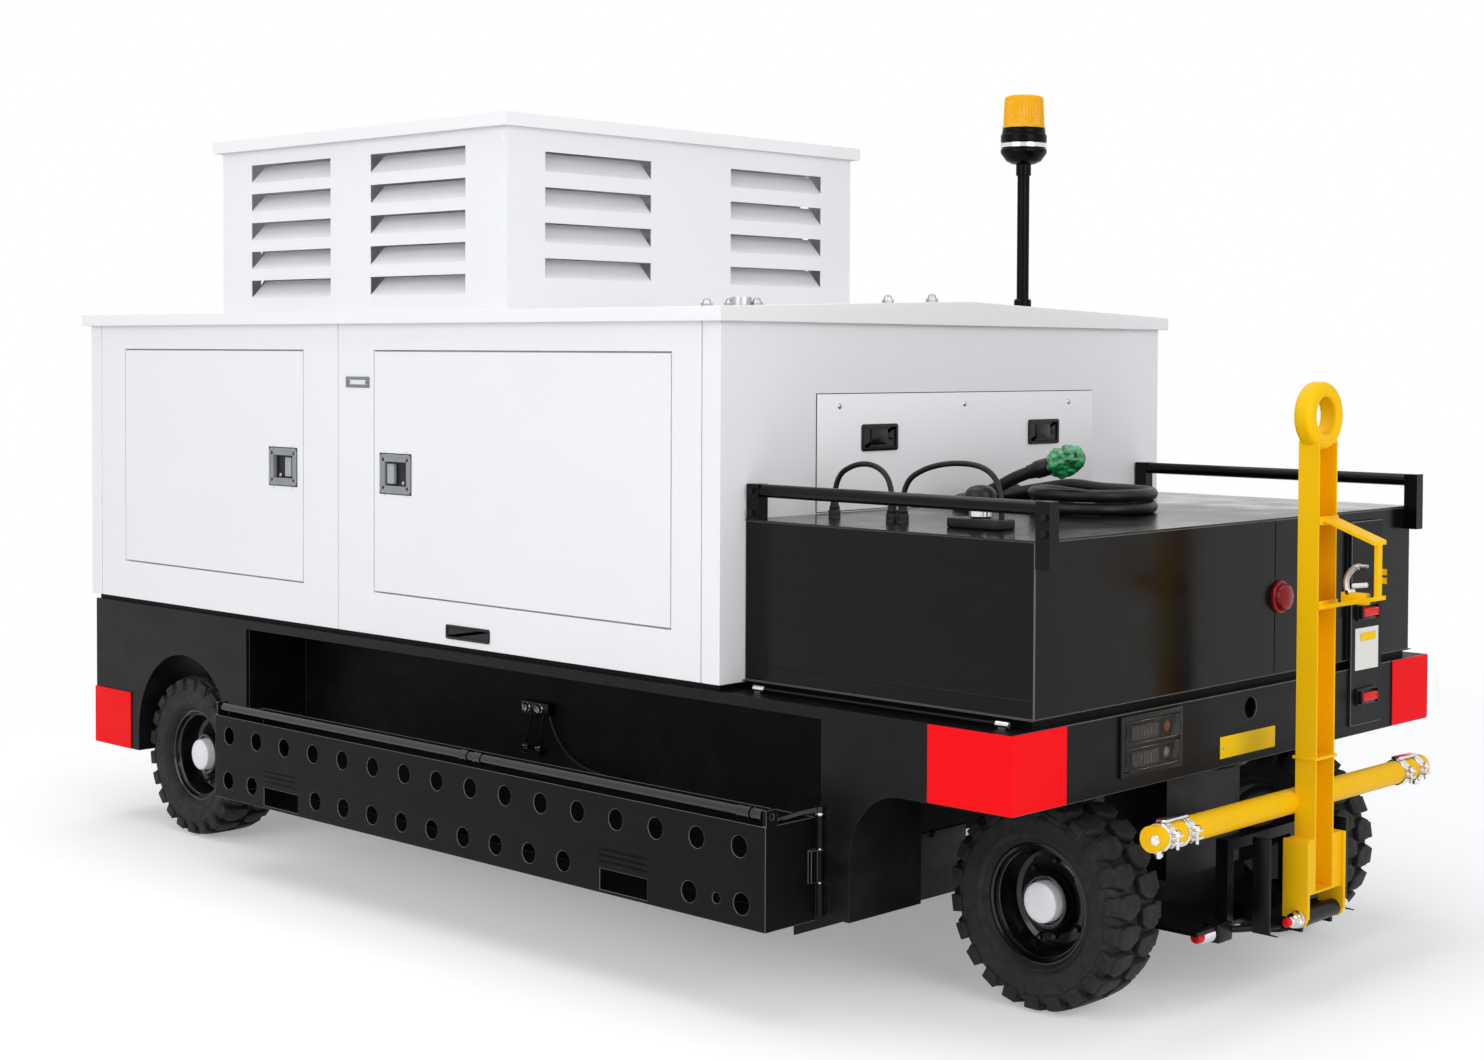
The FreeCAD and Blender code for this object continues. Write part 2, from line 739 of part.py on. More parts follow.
for y0, y1 in end_louvre_columns:
    for row in range(end_louvre_count):
        top = end_louvre_top - row * end_louvre_pitch
        for face, inward in ((outlet_front, -1), (outlet_rear, 1)):
            cuts.append(box(face, face + inward * outlet_sheet, y0, y1, top - louvre_height, top))
            low = top - louvre_height
            blades.append(extrude([(face, y0, low), (face + inward * blade_reach, y0, top),
                                   (face + inward * blade_reach, y0, top - blade_thickness),
                                   (face, y0, low - blade_thickness)], (0, y1 - y0, 0)))
outlet = join([outlet.cut(Part.makeCompound(cuts))] + blades)
outlet = outlet.cut(roof_outer)
save("louvre_box", [outlet])

lid_bottom = outlet_top + roof_sheet - outlet_lid_depth
lid = box(outlet_rear - outlet_lid_overhang, outlet_front + outlet_lid_overhang,
          -outlet_half - outlet_lid_overhang, outlet_half + outlet_lid_overhang, lid_bottom,
          outlet_top + roof_sheet)
lid = lid.cut(box(outlet_rear - outlet_lid_overhang + roof_sheet,
                  outlet_front + outlet_lid_overhang - roof_sheet,
                  -outlet_half - outlet_lid_overhang + roof_sheet,
                  outlet_half + outlet_lid_overhang - roof_sheet, lid_bottom, outlet_top))
save("louvre_lid", [lid])

# ---- doors and their recessed paddle handles
def door(span, handle_x):
    leaf = box(span[0], span[1], -half_width, -half_width + wall, door_bottom, door_top)
    inner_width = handle_width / 2 - handle_frame
    inner_height = handle_height / 2 - handle_frame
    pocket = box(handle_x - inner_width, handle_x + inner_width, -half_width, -half_width + handle_depth,
                 handle_z - inner_height, handle_z + inner_height)
    return leaf.cut(pocket)


def handle(handle_x):
    front = -half_width - handle_proud
    inner_width = handle_width / 2 - handle_frame
    inner_height = handle_height / 2 - handle_frame
    bezel = box(handle_x - handle_width / 2, handle_x + handle_width / 2, front, -half_width,
                handle_z - handle_height / 2, handle_z + handle_height / 2)
    cup = box(handle_x - inner_width, handle_x + inner_width, -half_width, -half_width + handle_depth,
              handle_z - inner_height, handle_z + inner_height)
    hollow = box(handle_x - inner_width + sheet, handle_x + inner_width - sheet, front,
                 -half_width + handle_depth - sheet, handle_z - inner_height + sheet,
                 handle_z + inner_height - sheet)
    paddle = box(handle_x - inner_width / 3, handle_x + inner_width / 3, front,
                 -half_width + handle_depth - sheet, handle_z, handle_z + inner_height - sheet)
    return join([join([bezel, cup]).cut(hollow), paddle])


door_pieces = (("rear", door(rear_door, rear_handle_x), handle(rear_handle_x)),
               ("front", door(front_door, front_handle_x), handle(front_handle_x)))
for place, leaf, grip in door_pieces:
    save("door_" + place + "_right", [leaf])
    save("door_" + place + "_left", [flip(leaf)])
    save("handle_" + place + "_right", [grip])
    save("handle_" + place + "_left", [flip(grip)])

# ---- screwed front access panel
panel = box(canopy_front, canopy_front + access_sheet, -access_half, access_half, box_top + sheet, access_top)
save("access_panel", [panel])

# ---- black trim: flush latches of the access panel and slot covers low on the sides
trim = []
latch_face = canopy_front + access_sheet
for side in (-1, 1):
    centre = side * latch_spread
    trim.append(box(latch_face, latch_face + latch_proud, centre - latch_width / 2, centre + latch_width / 2,
                    latch_z - latch_height / 2, latch_z + latch_height / 2))
slot_x = side_seam_x + slot_offset
slot_z = canopy_bottom + slot_lift
trim += both(box(slot_x, slot_x + slot_width, -half_width - trim_proud, -half_width,
                 slot_z, slot_z + slot_height))
save("black_fittings", trim)
vent_x = side_seam_x + vent_offset
vent_top = door_top - vent_drop
save("side_vents", both(box(vent_x, vent_x + vent_width, -half_width - trim_proud, -half_width,
                            vent_top - vent_height, vent_top)))

# ---- engine and alternator, plain blocks on the deck
engine = box(engine_start, engine_start + engine_length, -engine_half, engine_half, canopy_bottom,
             canopy_bottom + engine_height)
alternator = box(alternator_start, alternator_start + alternator_length, -alternator_half, alternator_half,
                 canopy_bottom, canopy_bottom + alternator_height)
save("engine_set", [engine, alternator])

# ---- lifting points on the roof
roof_bumps = []
for x in (canopy_rear + lifting_inset, canopy_front - lifting_forward):
    for y in (-lifting_half, lifting_half):
        roof_bumps.append(cyl(x, y, roof_under(y), lifting_radius, lifting_height).cut(roof_outer))
save("roof_fittings", roof_bumps)

# ---- beacon on its pole
pole = [cyl(beacon_x, beacon_y, roof_under(beacon_y), beacon_flange_radius,
            roof_sheet + beacon_flange + beacon_flange_radius * roof_slope),
        cyl(beacon_x, beacon_y, canopy_top, beacon_pole_radius, beacon_base_bottom - canopy_top),
        cyl(beacon_x, beacon_y, beacon_base_bottom, beacon_base_radius,
            beacon_lens_bottom - beacon_base_bottom)]
stand = join(pole).cut(roof_outer)
save("beacon_stand", [stand.Solids[-1] if len(stand.Solids) > 1 else stand])
lens = cyl(beacon_x, beacon_y, beacon_lens_bottom, beacon_lens_radius, beacon_top - beacon_lens_bottom)
save("beacon_lens", [lens])

# ---- cable box
box_rear = canopy_front + box_gap
cable_box = box(box_rear, box_front, -box_half, box_half, box_bottom, box_top - box_sheet)
cable_box = cable_box.cut(box(box_rear + box_sheet, box_front - box_sheet, -box_half + box_sheet,
                              box_half - box_sheet, box_bottom, box_top - box_sheet))
flange = box(box_rear, box_front + box_sheet, -box_half - box_flange, box_half + box_flange,
             box_bottom, box_bottom + box_sheet)
flange = flange.cut(box(box_rear + box_sheet + box_flange, box_front - box_sheet - box_flange,
                        -box_half + box_sheet + box_flange, box_half - box_sheet - box_flange,
                        box_bottom, box_bottom + box_sheet))
save("cable_box", [join([cable_box, flange])])
save("cable_box_top", [box(box_rear, box_front, -box_half, box_half, box_top - box_sheet, box_top)])

# ---- guard rails
rail_y = -box_half + rail_post_thickness / 2
tube_z = rail_tube_top - rail_tube_radius
rear_post = box(box_rear + sheet, box_rear + sheet + rail_post, rail_y - rail_post_thickness / 2,
                rail_y + rail_post_thickness / 2, box_top, rail_tube_top)
front_post = box(box_front, box_front + rail_post, rail_y - rail_post_thickness / 2,
                 rail_y + rail_post_thickness / 2, rail_post_bottom, rail_tube_top)
tube = cyl(box_rear + sheet, rail_y, tube_z, rail_tube_radius,
           box_front + rail_post - box_rear - sheet, X_AXIS)
save("side_rails", both(join([rear_post, front_post, tube])))

# ---- lamp cluster, sign, control strip
lamp_face = half_length + lamp_proud
lamp_centre_y = lamp_from_side - half_width
lamp_y = (lamp_centre_y - lamp_width / 2, lamp_centre_y + lamp_width / 2)
lamp_z = (apron_bottom + lamp_lift, apron_bottom + lamp_lift + lamp_height)
lamp = box(half_length, lamp_face, lamp_y[0], lamp_y[1], lamp_z[0], lamp_z[1])
lamp_middle = (lamp_z[0] + lamp_z[1]) / 2
lenses = []
for low, high in ((lamp_z[0] + lamp_border, lamp_middle - lamp_bar / 2),
                  (lamp_middle + lamp_bar / 2, lamp_z[1] - lamp_border)):
    glass = box(half_length, lamp_face + lens_proud, lamp_y[0] + lamp_border, lamp_y[1] - lamp_border,
                low, high)
    lamp = lamp.cut(glass)
    lenses.append(glass)
save("lamp_housing", [lamp])
save("lamp_lenses", lenses)
sign_z = apron_bottom + sign_lift
save("sign_plate", [box(half_length, half_length + plate_sheet, sign_centre_y - sign_width / 2,
                        sign_centre_y + sign_width / 2, sign_z, sign_z + sign_height)])
strip_centre_y = box_half - strip_from_side
strip_y = (strip_centre_y - strip_width / 2, strip_centre_y + strip_width / 2)
strip_z = (apron_bottom + strip_lift, apron_bottom + strip_lift + strip_height)
strip_face = half_length + strip_sheet
strip = join([box(half_length, strip_face, strip_y[0], strip_y[1], strip_z[0], strip_z[1]),
              box(box_front, half_length, strip_y[0], strip_y[1], box_bottom + 2 * box_sheet, strip_z[1])])
save("control_strip", [strip])
controls = []
switch_y = strip_centre_y - switch_offset
for z in (chassis_top - switch_drop, chassis_top + switch_rise):
    controls.append(box(strip_face, strip_face + switch_proud, switch_y - switch_width / 2,
                        switch_y + switch_width / 2, z - switch_height / 2, z + switch_height / 2))
controls.append(cyl(box_front, stop_y, box_top - stop_drop, stop_radius, stop_proud, X_AXIS))
save("red_controls", controls)
data_z = chassis_top - data_drop
save("data_plate", [box(strip_face, strip_face + plate_sheet, strip_centre_y - data_width / 2,
                        strip_centre_y + data_width / 2, data_z, data_z + data_height)])

# ---- side trays
def tray():
    body = box(tray_x[0], tray_x[1], -tray_outer, -tray_inner, tray_bottom, tray_top)
    body = body.cut(box(tray_x[0] + tray_sheet, tray_x[1] - tray_sheet, -tray_outer + tray_sheet,
                        -tray_inner - tray_sheet, tray_bottom + tray_sheet, tray_top))
    holes = []
    first = tray_x[0] + tray_hole_inset_rear
    pitch = (tray_x[1] - tray_hole_inset_front - first) / (tray_hole_count - 1)
    for i in range(tray_hole_count):
        x = first + i * pitch
        holes.append(cyl(x, -tray_outer, tray_hole_upper, tray_hole_radius, tray_sheet, Y_AXIS))
    low_first = pocket_x[0][1] + low_row_from_rear
    low_last = pocket_x[1][0] - low_row_from_front
    low_row = [low_first + i * (low_last - low_first) / (low_row_count - 1) for i in range(low_row_count)]
    low_row += [tray_x[0] + low_rear_end, pocket_x[0][0] - low_rear_pocket]
    low_row += [tray_x[1] - low_front_pair, tray_x[1] - low_front_end]
    for x in low_row:
        holes.append(cyl(x, -tray_outer, tray_hole_lower, tray_hole_radius, tray_sheet, Y_AXIS))
    holes.append(cyl(tray_x[1] - drain_inset, -tray_outer, tray_hole_lower, drain_radius, tray_sheet, Y_AXIS))
    for low, high in pocket_x:
        holes.append(box(low, high, -tray_outer, -tray_outer + tray_sheet, pocket_bottom,
                         pocket_bottom + pocket_height))
    body = body.cut(Part.makeCompound(holes))
    brackets = []
    for face, inward in ((tray_x[0], 1), (tray_x[1], -1)):
        brackets.append(box(face, face + inward * roller_bracket, -roller_y - roller_bracket_width / 2,
                            -roller_y + roller_bracket_width / 2, tray_top - roller_bracket_width,
                            roller_z + roller_radius))
    body = join([body] + brackets)
    bore = cyl(tray_x[0], -roller_y, roller_z, roller_pin_radius + axle_clearance,
               tray_x[1] - tray_x[0], X_AXIS)
    body = body.cut(bore)
    low = hinge_low + knuckle_length + hinge_split
    knuckle = cyl(hinge_x, -hinge_y, low, hinge_radius, knuckle_length)
    leaf = box(tray_x[1] - tray_sheet, hinge_x, -tray_inner - hinge_leaf_width, -hinge_y, low,
               low + knuckle_length)
    body = join([body, leaf, knuckle])
    return body.cut(cyl(hinge_x, -hinge_y, low, hinge_pin_radius + axle_clearance, knuckle_length))


tray_right = tray()
save("tray_right", [tray_right])
save("tray_left", [flip(tray_right)])
roller_start = tray_x[0] + roller_bracket + roller_end_gap
roller_stop = tray_x[1] - roller_bracket - roller_end_gap
roller = join([cyl(roller_start, -roller_y, roller_z, roller_radius, roller_stop - roller_start, X_AXIS),
               cyl(tray_x[0], -roller_y, roller_z, roller_pin_radius, tray_x[1] - tray_x[0], X_AXIS)])
save("roller_right", [roller])
save("roller_left", [flip(roller)])

# ---- wheels
def wheel_shapes(x, outer):
    y0 = -outer
    y1 = -outer + tyre_width
    middle_y = (y0 + y1) / 2
    half = tyre_width / 2
    bead = rim_width / 2
    tread = wheel_radius - lug_height
    shoulder = tread - lug_height * 1.6
    profile = [(rim_radius, -bead), (rim_radius + side_rise, -half), (shoulder, -half),
               (tread, -half + tread_slope), (tread, half - tread_slope), (shoulder, half),
               (rim_radius + side_rise, half), (rim_radius, bead)]
    step = 2 * math.pi / lug_count

    def corner(point, index):
        angle = (index - 0.5) * step
        reach = point[0] / math.cos(step / 2)
        return Vector(x + reach * math.sin(angle), middle_y + point[1],
                      wheel_radius + reach * math.cos(angle))

    faces = []
    for i in range(lug_count):
        for first, second in zip(profile, profile[1:] + profile[:1]):
            loop = [corner(first, i), corner(second, i), corner(second, i + 1), corner(first, i + 1)]
            faces.append(Part.Face(Part.makePolygon(loop + [loop[0]])))
    tyre = Part.Solid(Part.Shell(faces))
    if tyre.Volume < 0:
        tyre.reverse()
    lug_top = math.sqrt(wheel_radius ** 2 - lug_width ** 2 / 4)
    lug_root = tread - lug_height / 2
    outline = [(lug_gap / 2, lug_root), (lug_gap / 2, lug_top), (half - tread_slope, lug_top),
               (half - lug_inset, tread), (half - lug_inset, shoulder - lug_inset)]
    lugs = []
    for side in (-1, 1):
        corners = [(x - lug_width / 2, middle_y + side * y, wheel_radius + r) for y, r in outline]
        for i in range(lug_count):
            lug = extrude(corners, (lug_width, 0, 0))
            lug.rotate(Vector(x, 0, wheel_radius), Y_AXIS, math.degrees(step) * (i + (side + 1) / 4))
            lugs.append(lug)
    tyre = tyre.fuse(lugs)
    well = rim_radius - rim_sheet
    bore = axle_radius + axle_clearance
    shelf = hub_cap_radius + disc_shelf
    rim_points = [(rim_radius, -bead - rim_lip), (rim_radius, bead), (well, bead),
                  (well, -disc_at_rim), (shelf, -disc_at_hub), (bore, -disc_at_hub),
                  (bore, -disc_at_rim - 2 * rim_sheet), (shelf + disc_bend, -disc_at_rim - rim_sheet),
                  (well - rim_sheet, -disc_back_at_rim), (well - rim_sheet, -bead - rim_lip)]
    points = [Vector(x, middle_y + y, wheel_radius + r) for r, y in rim_points]
    face = Part.Face(Part.makePolygon(points + [points[0]]))
    rim = face.revolve(Vector(x, 0, wheel_radius), Y_AXIS, 360)
    cap = cyl(x, middle_y - hub_seat - hub_cap_height, wheel_radius, hub_cap_radius, hub_cap_height, Y_AXIS)
    rim = join([rim, cap])
    return tyre, rim, middle_y


for place, x, outer in (("front", front_axle_x, front_outer), ("rear", rear_axle_x, rear_outer)):
    tyre, rim, middle_y = wheel_shapes(x, outer)
    save("tyre_" + place + "_right", [tyre])
    save("tyre_" + place + "_left", [flip(tyre)])
    save("rim_" + place + "_right", [rim])
    save("rim_" + place + "_left", [flip(rim)])

# ---- rear axle with leaf springs
def axle_beam(x, outer):
    inner_face = outer - tyre_width
    hub_y = outer - tyre_width / 2
    beam = box(x - beam_size / 2, x + beam_size / 2, -inner_face + axle_to_wheel, inner_face - axle_to_wheel,
               wheel_radius - beam_size / 2, wheel_radius + beam_size / 2)
    stub_half = hub_y + hub_seat - axle_end_gap
    stub = cyl(x, -stub_half, wheel_radius, axle_radius, 2 * stub_half, Y_AXIS)
    return [beam, stub]


rear_parts = axle_beam(rear_axle_x, rear_outer)
spring_bottom = wheel_radius + beam_size / 2
for side in (-1, 1):
    y = side * rail_spacing
    rear_parts.append(box(rear_axle_x - spring_half_length, rear_axle_x + spring_half_length,
                          y - spring_width / 2, y + spring_width / 2, spring_bottom,
                          spring_bottom + spring_thickness))
    for end in (-1, 1):
        x = rear_axle_x + end * (spring_half_length - hanger_length / 2)
        rear_parts.append(box(x - hanger_length / 2, x + hanger_length / 2, y - rail_width / 2,
                              y + rail_width / 2, spring_bottom, rail_bottom))
save("rear_axle", [join(rear_parts)])

# ---- steered front axle: turntable, bolster, beam and tow bar bracket
disc_top = ring_bottom - turntable_gap
disc_bottom = disc_top - turntable_thickness
front_parts = axle_beam(front_axle_x, front_outer)
front_parts.append(cyl(front_axle_x, 0, disc_bottom, turntable_radius, turntable_thickness))
front_parts.append(cyl(front_axle_x, 0, disc_bottom, kingpin_radius,
                       deck_bottom - disc_bottom - turntable_gap))
front_parts.append(box(front_axle_x - bolster_length / 2, front_axle_x + bolster_length / 2,
                       -bolster_width / 2, bolster_width / 2, wheel_radius, disc_bottom))
front_parts.append(box(front_axle_x, post_x[1], -floor_half, floor_half,
                       post_z[0], post_z[0] + floor_thickness))
front_parts.append(box(front_axle_x - beam_size / 2, front_axle_x + beam_size / 2, -floor_half, floor_half,
                       post_z[0], wheel_radius))
for side in (-1, 1):
    front_parts.append(box(post_x[0], post_x[1], side * post_y, side * (post_y + post_width),
                           post_z[0], post_z[1]))
front_parts.append(box(post_x[0], post_x[1], -post_y - post_width, post_y + post_width,
                       post_z[1] - post_width, post_z[1]))
for side in (-1, 1):
    front_parts.append(box(post_x[0], pivot_x, side * pivot_tube_half,
                           side * (pivot_tube_half - floor_thickness), post_z[0],
                           pivot_z + pivot_tube_radius / 2))
front_parts.append(cyl(pivot_x, -pivot_tube_half, pivot_z, pivot_tube_radius, 2 * pivot_tube_half, Y_AXIS))
front_axle = join(front_parts).cut(cyl(pivot_x, -pivot_tube_half, pivot_z, pivot_radius + pivot_clearance,
                                       2 * pivot_tube_half, Y_AXIS))
save("front_axle", [front_axle])

# ---- tow bar
channel = box(channel_x[0], channel_x[1], -channel_half, channel_half, channel_foot, channel_top)
channel = channel.cut(box(channel_x[0] + channel_sheet, channel_x[1], -channel_half + channel_sheet,
                          channel_half - channel_sheet, channel_foot + channel_sheet,
                          channel_top - channel_sheet))
tow = [channel]
for side in (-1, 1):
    inner = side * fork_inner
    outer = side * (fork_inner + fork_thickness)
    tow.append(box(fork_x[0], fork_x[1], inner, outer, pivot_z, fork_top))
    tow.append(cyl(pivot_x, min(inner, outer), pivot_z, fork_nose, fork_thickness, Y_AXIS))
    for z in (channel_foot, fork_top - fork_thickness):
        tow.append(box(channel_x[0], channel_x[1], side * channel_half, inner, z, z + fork_thickness))
    tow.append(box(channel_x[1] - channel_sheet, channel_x[1], side * channel_half, inner,
                   channel_foot, fork_top))
eye_x = (channel_x[0] + channel_x[1]) / 2
eye_z = eye_top - eye_radius
ring = cyl(eye_x - eye_thickness / 2, 0, eye_z, eye_radius, eye_thickness, X_AXIS)
ring = ring.cut(cyl(eye_x - eye_thickness / 2, 0, eye_z, eye_bore, eye_thickness, X_AXIS))
for radius, fillet in ((eye_radius, eye_outer_fillet), (eye_bore, eye_bore_fillet)):
    rims = [edge for edge in ring.Edges if abs(edge.Length - 2 * math.pi * radius) < 1]
    ring = ring.makeFillet(fillet, rims)
tow.append(ring)
tow.append(box(eye_x - eye_thickness / 2, eye_x + eye_thickness / 2, -channel_half, channel_half,
               channel_top - channel_sheet, eye_z - eye_bore - eye_bore_fillet))
for z in (grip_bottom, grip_top - grip_bar, pivot_z + collar_rise):
    tow.append(box(channel_x[0] + channel_sheet / 2, channel_x[1], -channel_half + channel_sheet / 2,
                   channel_half - channel_sheet / 2, z, z + channel_sheet))
tow_bar = join(tow)
tow_bar = tow_bar.cut(cyl(pivot_x, -fork_inner - fork_thickness, pivot_z, pivot_radius,
                          2 * (fork_inner + fork_thickness), Y_AXIS))
arm = cyl(arm_x, -arm_half, arm_z, arm_radius, 2 * arm_half, Y_AXIS)
arm = arm.cut(box(channel_x[0], channel_x[1], -channel_half, channel_half,
                  arm_z - arm_radius, arm_z + arm_radius))
save("tow_bar", [tow_bar])
save("cross_arm", [arm])
bar_front = channel_x[1]
upright = bar_front + grip_reach
upper_end = grip_top - grip_slope
lower_end = grip_bottom + grip_lower_slope


def grip_strip(points):
    outline = [(x, -grip_half_width, z) for x, z in points]
    return extrude(outline, (0, 2 * grip_half_width, 0))


grip = [grip_strip([(bar_front, grip_bottom), (upright, lower_end), (upright, lower_end + grip_bar),
                    (bar_front, grip_bottom + grip_bar)]),
        grip_strip([(bar_front, grip_top), (upright, upper_end), (upright, upper_end - grip_bar),
                    (bar_front, grip_top - grip_bar)]),
        box(upright - grip_bar, upright, -grip_bar, grip_bar, lower_end, upper_end - grip_bar / 2)]
for z in (grip_bottom, grip_top - 2 * grip_bar):
    grip.append(box(bar_front, bar_front + grip_bar / 2, -channel_half, channel_half, z, z + 2 * grip_bar))
grip_body = join(grip)
save("tow_grip", [grip_body])

# latch hook standing on the lower bar
hook_x = upright - hook_back - hook_length
hook_z = lower_end
hook_top = hook_z + hook_height
hook_outline = [(hook_x, hook_z - hook_band), (hook_x + hook_length, hook_z - hook_sink),
                (hook_x + hook_length - hook_band / 2, hook_z + hook_band),
                (hook_x + hook_band, hook_z + hook_height / 2),
                (hook_x + hook_band, hook_top - 2 * hook_band),
                (hook_x + hook_length / 2, hook_top - hook_band),
                (hook_x + hook_length, hook_top - hook_band / 2), (hook_x + hook_length, hook_top),
                (hook_x + hook_length / 3, hook_top - hook_band / 3),
                (hook_x, hook_top - 2 * hook_band)]
hook = extrude([(x, -hook_thickness / 2, z) for x, z in hook_outline], (0, hook_thickness, 0))
save("hook_latch", [hook.cut(grip_body)])

pivot_pin = cyl(pivot_x, -pivot_half, pivot_z, pivot_radius, 2 * pivot_half, Y_AXIS)
hardware = [pivot_pin]
for place in clamp_places:
    for side in (-1, 1):
        ring = cyl(arm_x, side * place - clamp_width / 2, arm_z, arm_radius + clamp_rim, clamp_width, Y_AXIS)
        arm_space = cyl(arm_x, side * place - clamp_width / 2, arm_z, arm_radius, clamp_width, Y_AXIS)
        hardware.append(ring.cut(arm_space))
save("tow_hardware", hardware)


# ---- glands, cap and cables on the cable box
def gland(x):
    body = cyl(x, lead_y, box_top, gland_radius, gland_height)
    return body.fuse(cyl(x, lead_y, box_top, gland_radius * gland_nut, gland_height / 3))


glands = [gland(rear_lead[0][0]), join([gland(rear_lead[-1][0]), gland(front_lead[0][0])])]
cap = join([box(cap_x - cap_base_length / 2, cap_x + cap_base_length / 2, lead_y - cap_base_width / 2,
                lead_y + cap_base_width / 2, box_top, cap_base_top),
            cyl(cap_x, lead_y, cap_base_top, cap_stem_radius, cap_stem),
            cyl(cap_x, lead_y, cap_base_top + cap_stem, cap_radius, cap_height)])
glands.append(cap)
glands.append(cyl(canopy_front + access_sheet, outlet_y, low_turn + outlet_radius - cable_radius,
                  outlet_radius, outlet_length, X_AXIS))
save("deck_glands", glands)


def tube_along(name, route, radius):
    points = [Vector(*p) for p in route]
    edges = []
    start = points[0]
    radii = []
    for before, corner, after in zip(points, points[1:], points[2:]):
        run_in = corner - before
        run_out = after - corner
        half_turn = run_in.getAngle(run_out) / 2
        reach = 0.45 * min(run_in.Length, run_out.Length)
        bend = reach / math.tan(half_turn)
        radii.append(round(bend))
        first = corner - Vector(run_in).normalize() * reach
        last = corner + Vector(run_out).normalize() * reach
        inward = ((first + last) * 0.5 - corner).normalize()
        top = corner + inward * (bend / math.cos(half_turn) - bend)
        edges.append(Part.LineSegment(start, first).toShape())
        edges.append(Part.Arc(first, top, last).toShape())
        start = last
    edges.append(Part.LineSegment(start, points[-1]).toShape())
    path = Part.Wire(edges)
    section = Part.Wire(Part.Circle(points[0], points[1] - points[0], radius).toShape())
    tube_solid = path.makePipeShell([section], True, False)
    expected = math.pi * radius ** 2 * path.Length
    ratio = round(tube_solid.Volume / expected, 5)
    print(name, "radii", radii, "length", round(path.Length), "volume ratio", ratio)
    return tube_solid


save("rear_lead", [tube_along("rear_lead", rear_lead, lead_radius)])
save("front_lead", [tube_along("front_lead", front_lead, lead_radius)])


def coil_turn(bottom, height, first, sweep):
    sector = Part.makeCylinder(coil_middle_radius + cable_radius, height, Vector(coil_x, coil_y, bottom),
                               Z_AXIS, sweep)
    sector = sector.cut(cyl(coil_x, coil_y, bottom, coil_middle_radius - cable_radius, height))
    sector.rotate(Vector(coil_x, coil_y, 0), Z_AXIS, first)
    return sector


turn_height = 2 * cable_radius
lower_turn = coil_turn(box_top, turn_height + coil_gap, lower_turn_start, lower_turn_sweep)
upper_turn = coil_turn(box_top + turn_height + coil_gap, turn_height, upper_turn_start, upper_turn_sweep)
save("cable_coil", [join([lower_turn, upper_turn])])
save("cable_in", [tube_along("cable_in", cable_in, cable_radius)])
save("cable_out", [tube_along("cable_out", cable_out, cable_radius)])
plug_start = Vector(*cable_out[-1])
plug_axis = (plug_start - Vector(*cable_out[-2])).normalize()
head_start = plug_start + plug_axis * plug_boot_length
plug = join([Part.makeCylinder(plug_boot_radius, plug_boot_length, plug_start, plug_axis),
             Part.makeCylinder(plug_head_radius, plug_head_length, head_start, plug_axis)])
save("cable_plug", [plug])
print("middle", middle, "length", overall_front - overall_rear)
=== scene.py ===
# Ground power unit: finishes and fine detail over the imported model. Metres, +X forward, +Y left.
import json
import math

import bmesh
import bpy
from mathutils import Matrix, Vector


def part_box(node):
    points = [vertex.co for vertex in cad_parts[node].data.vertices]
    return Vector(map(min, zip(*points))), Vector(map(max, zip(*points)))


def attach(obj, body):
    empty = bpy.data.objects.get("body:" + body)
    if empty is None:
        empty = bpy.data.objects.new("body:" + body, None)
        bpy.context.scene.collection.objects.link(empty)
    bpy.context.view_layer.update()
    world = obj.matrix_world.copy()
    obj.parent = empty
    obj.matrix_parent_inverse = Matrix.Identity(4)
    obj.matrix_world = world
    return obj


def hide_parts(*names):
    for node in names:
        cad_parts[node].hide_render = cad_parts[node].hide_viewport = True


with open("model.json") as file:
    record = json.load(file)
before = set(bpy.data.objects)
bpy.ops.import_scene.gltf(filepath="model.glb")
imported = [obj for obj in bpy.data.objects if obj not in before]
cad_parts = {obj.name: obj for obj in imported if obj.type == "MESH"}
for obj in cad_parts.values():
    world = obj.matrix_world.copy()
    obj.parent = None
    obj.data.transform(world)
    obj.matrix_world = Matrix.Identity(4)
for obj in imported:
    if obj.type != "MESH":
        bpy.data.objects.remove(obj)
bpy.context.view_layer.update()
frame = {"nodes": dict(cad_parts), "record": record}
nodes = frame["nodes"]
behaviour = frame["record"]["behaviour"]
hands = (("right", -1), ("left", 1))
mergeGap = 0.00002
print("frame loaded")


def deselect():
    if bpy.context.object and bpy.context.object.mode != "OBJECT":
        bpy.ops.object.mode_set(mode="OBJECT")
    bpy.ops.object.select_all(action="DESELECT")


def choose(*pieces):
    deselect()
    for piece in pieces:
        piece.select_set(True)
    bpy.context.view_layer.objects.active = pieces[0]


def edit(piece):
    choose(piece)
    bpy.ops.object.mode_set(mode="EDIT")
    bpy.ops.mesh.select_all(action="SELECT")


def leave():
    bpy.ops.object.mode_set(mode="OBJECT")


def pick(test, kind="FACE"):
    # selects the faces or edges of the piece in edit mode that pass the test
    mesh = bmesh.from_edit_mesh(bpy.context.object.data)
    bpy.ops.mesh.select_mode(type=kind)
    bpy.ops.mesh.select_all(action="DESELECT")
    for part in (mesh.faces if kind == "FACE" else mesh.edges):
        part.select_set(test(part))
    bmesh.update_edit_mesh(bpy.context.object.data)


def named(name):
    piece = bpy.context.object
    piece.name = name
    piece.data.name = name
    return piece


def settle(piece):
    choose(piece)
    bpy.ops.object.transform_apply(location=True, rotation=True, scale=True)
    return piece


def modifier(piece, kind, **values):
    choose(piece)
    added = piece.modifiers.new(kind.title(), kind)
    for key, value in values.items():
        setattr(added, key, value)
    bpy.ops.object.modifier_apply(modifier=added.name)


def outward(piece):
    edit(piece)
    bpy.ops.mesh.remove_doubles(threshold=mergeGap)
    bpy.ops.mesh.normals_make_consistent(inside=False)
    leave()


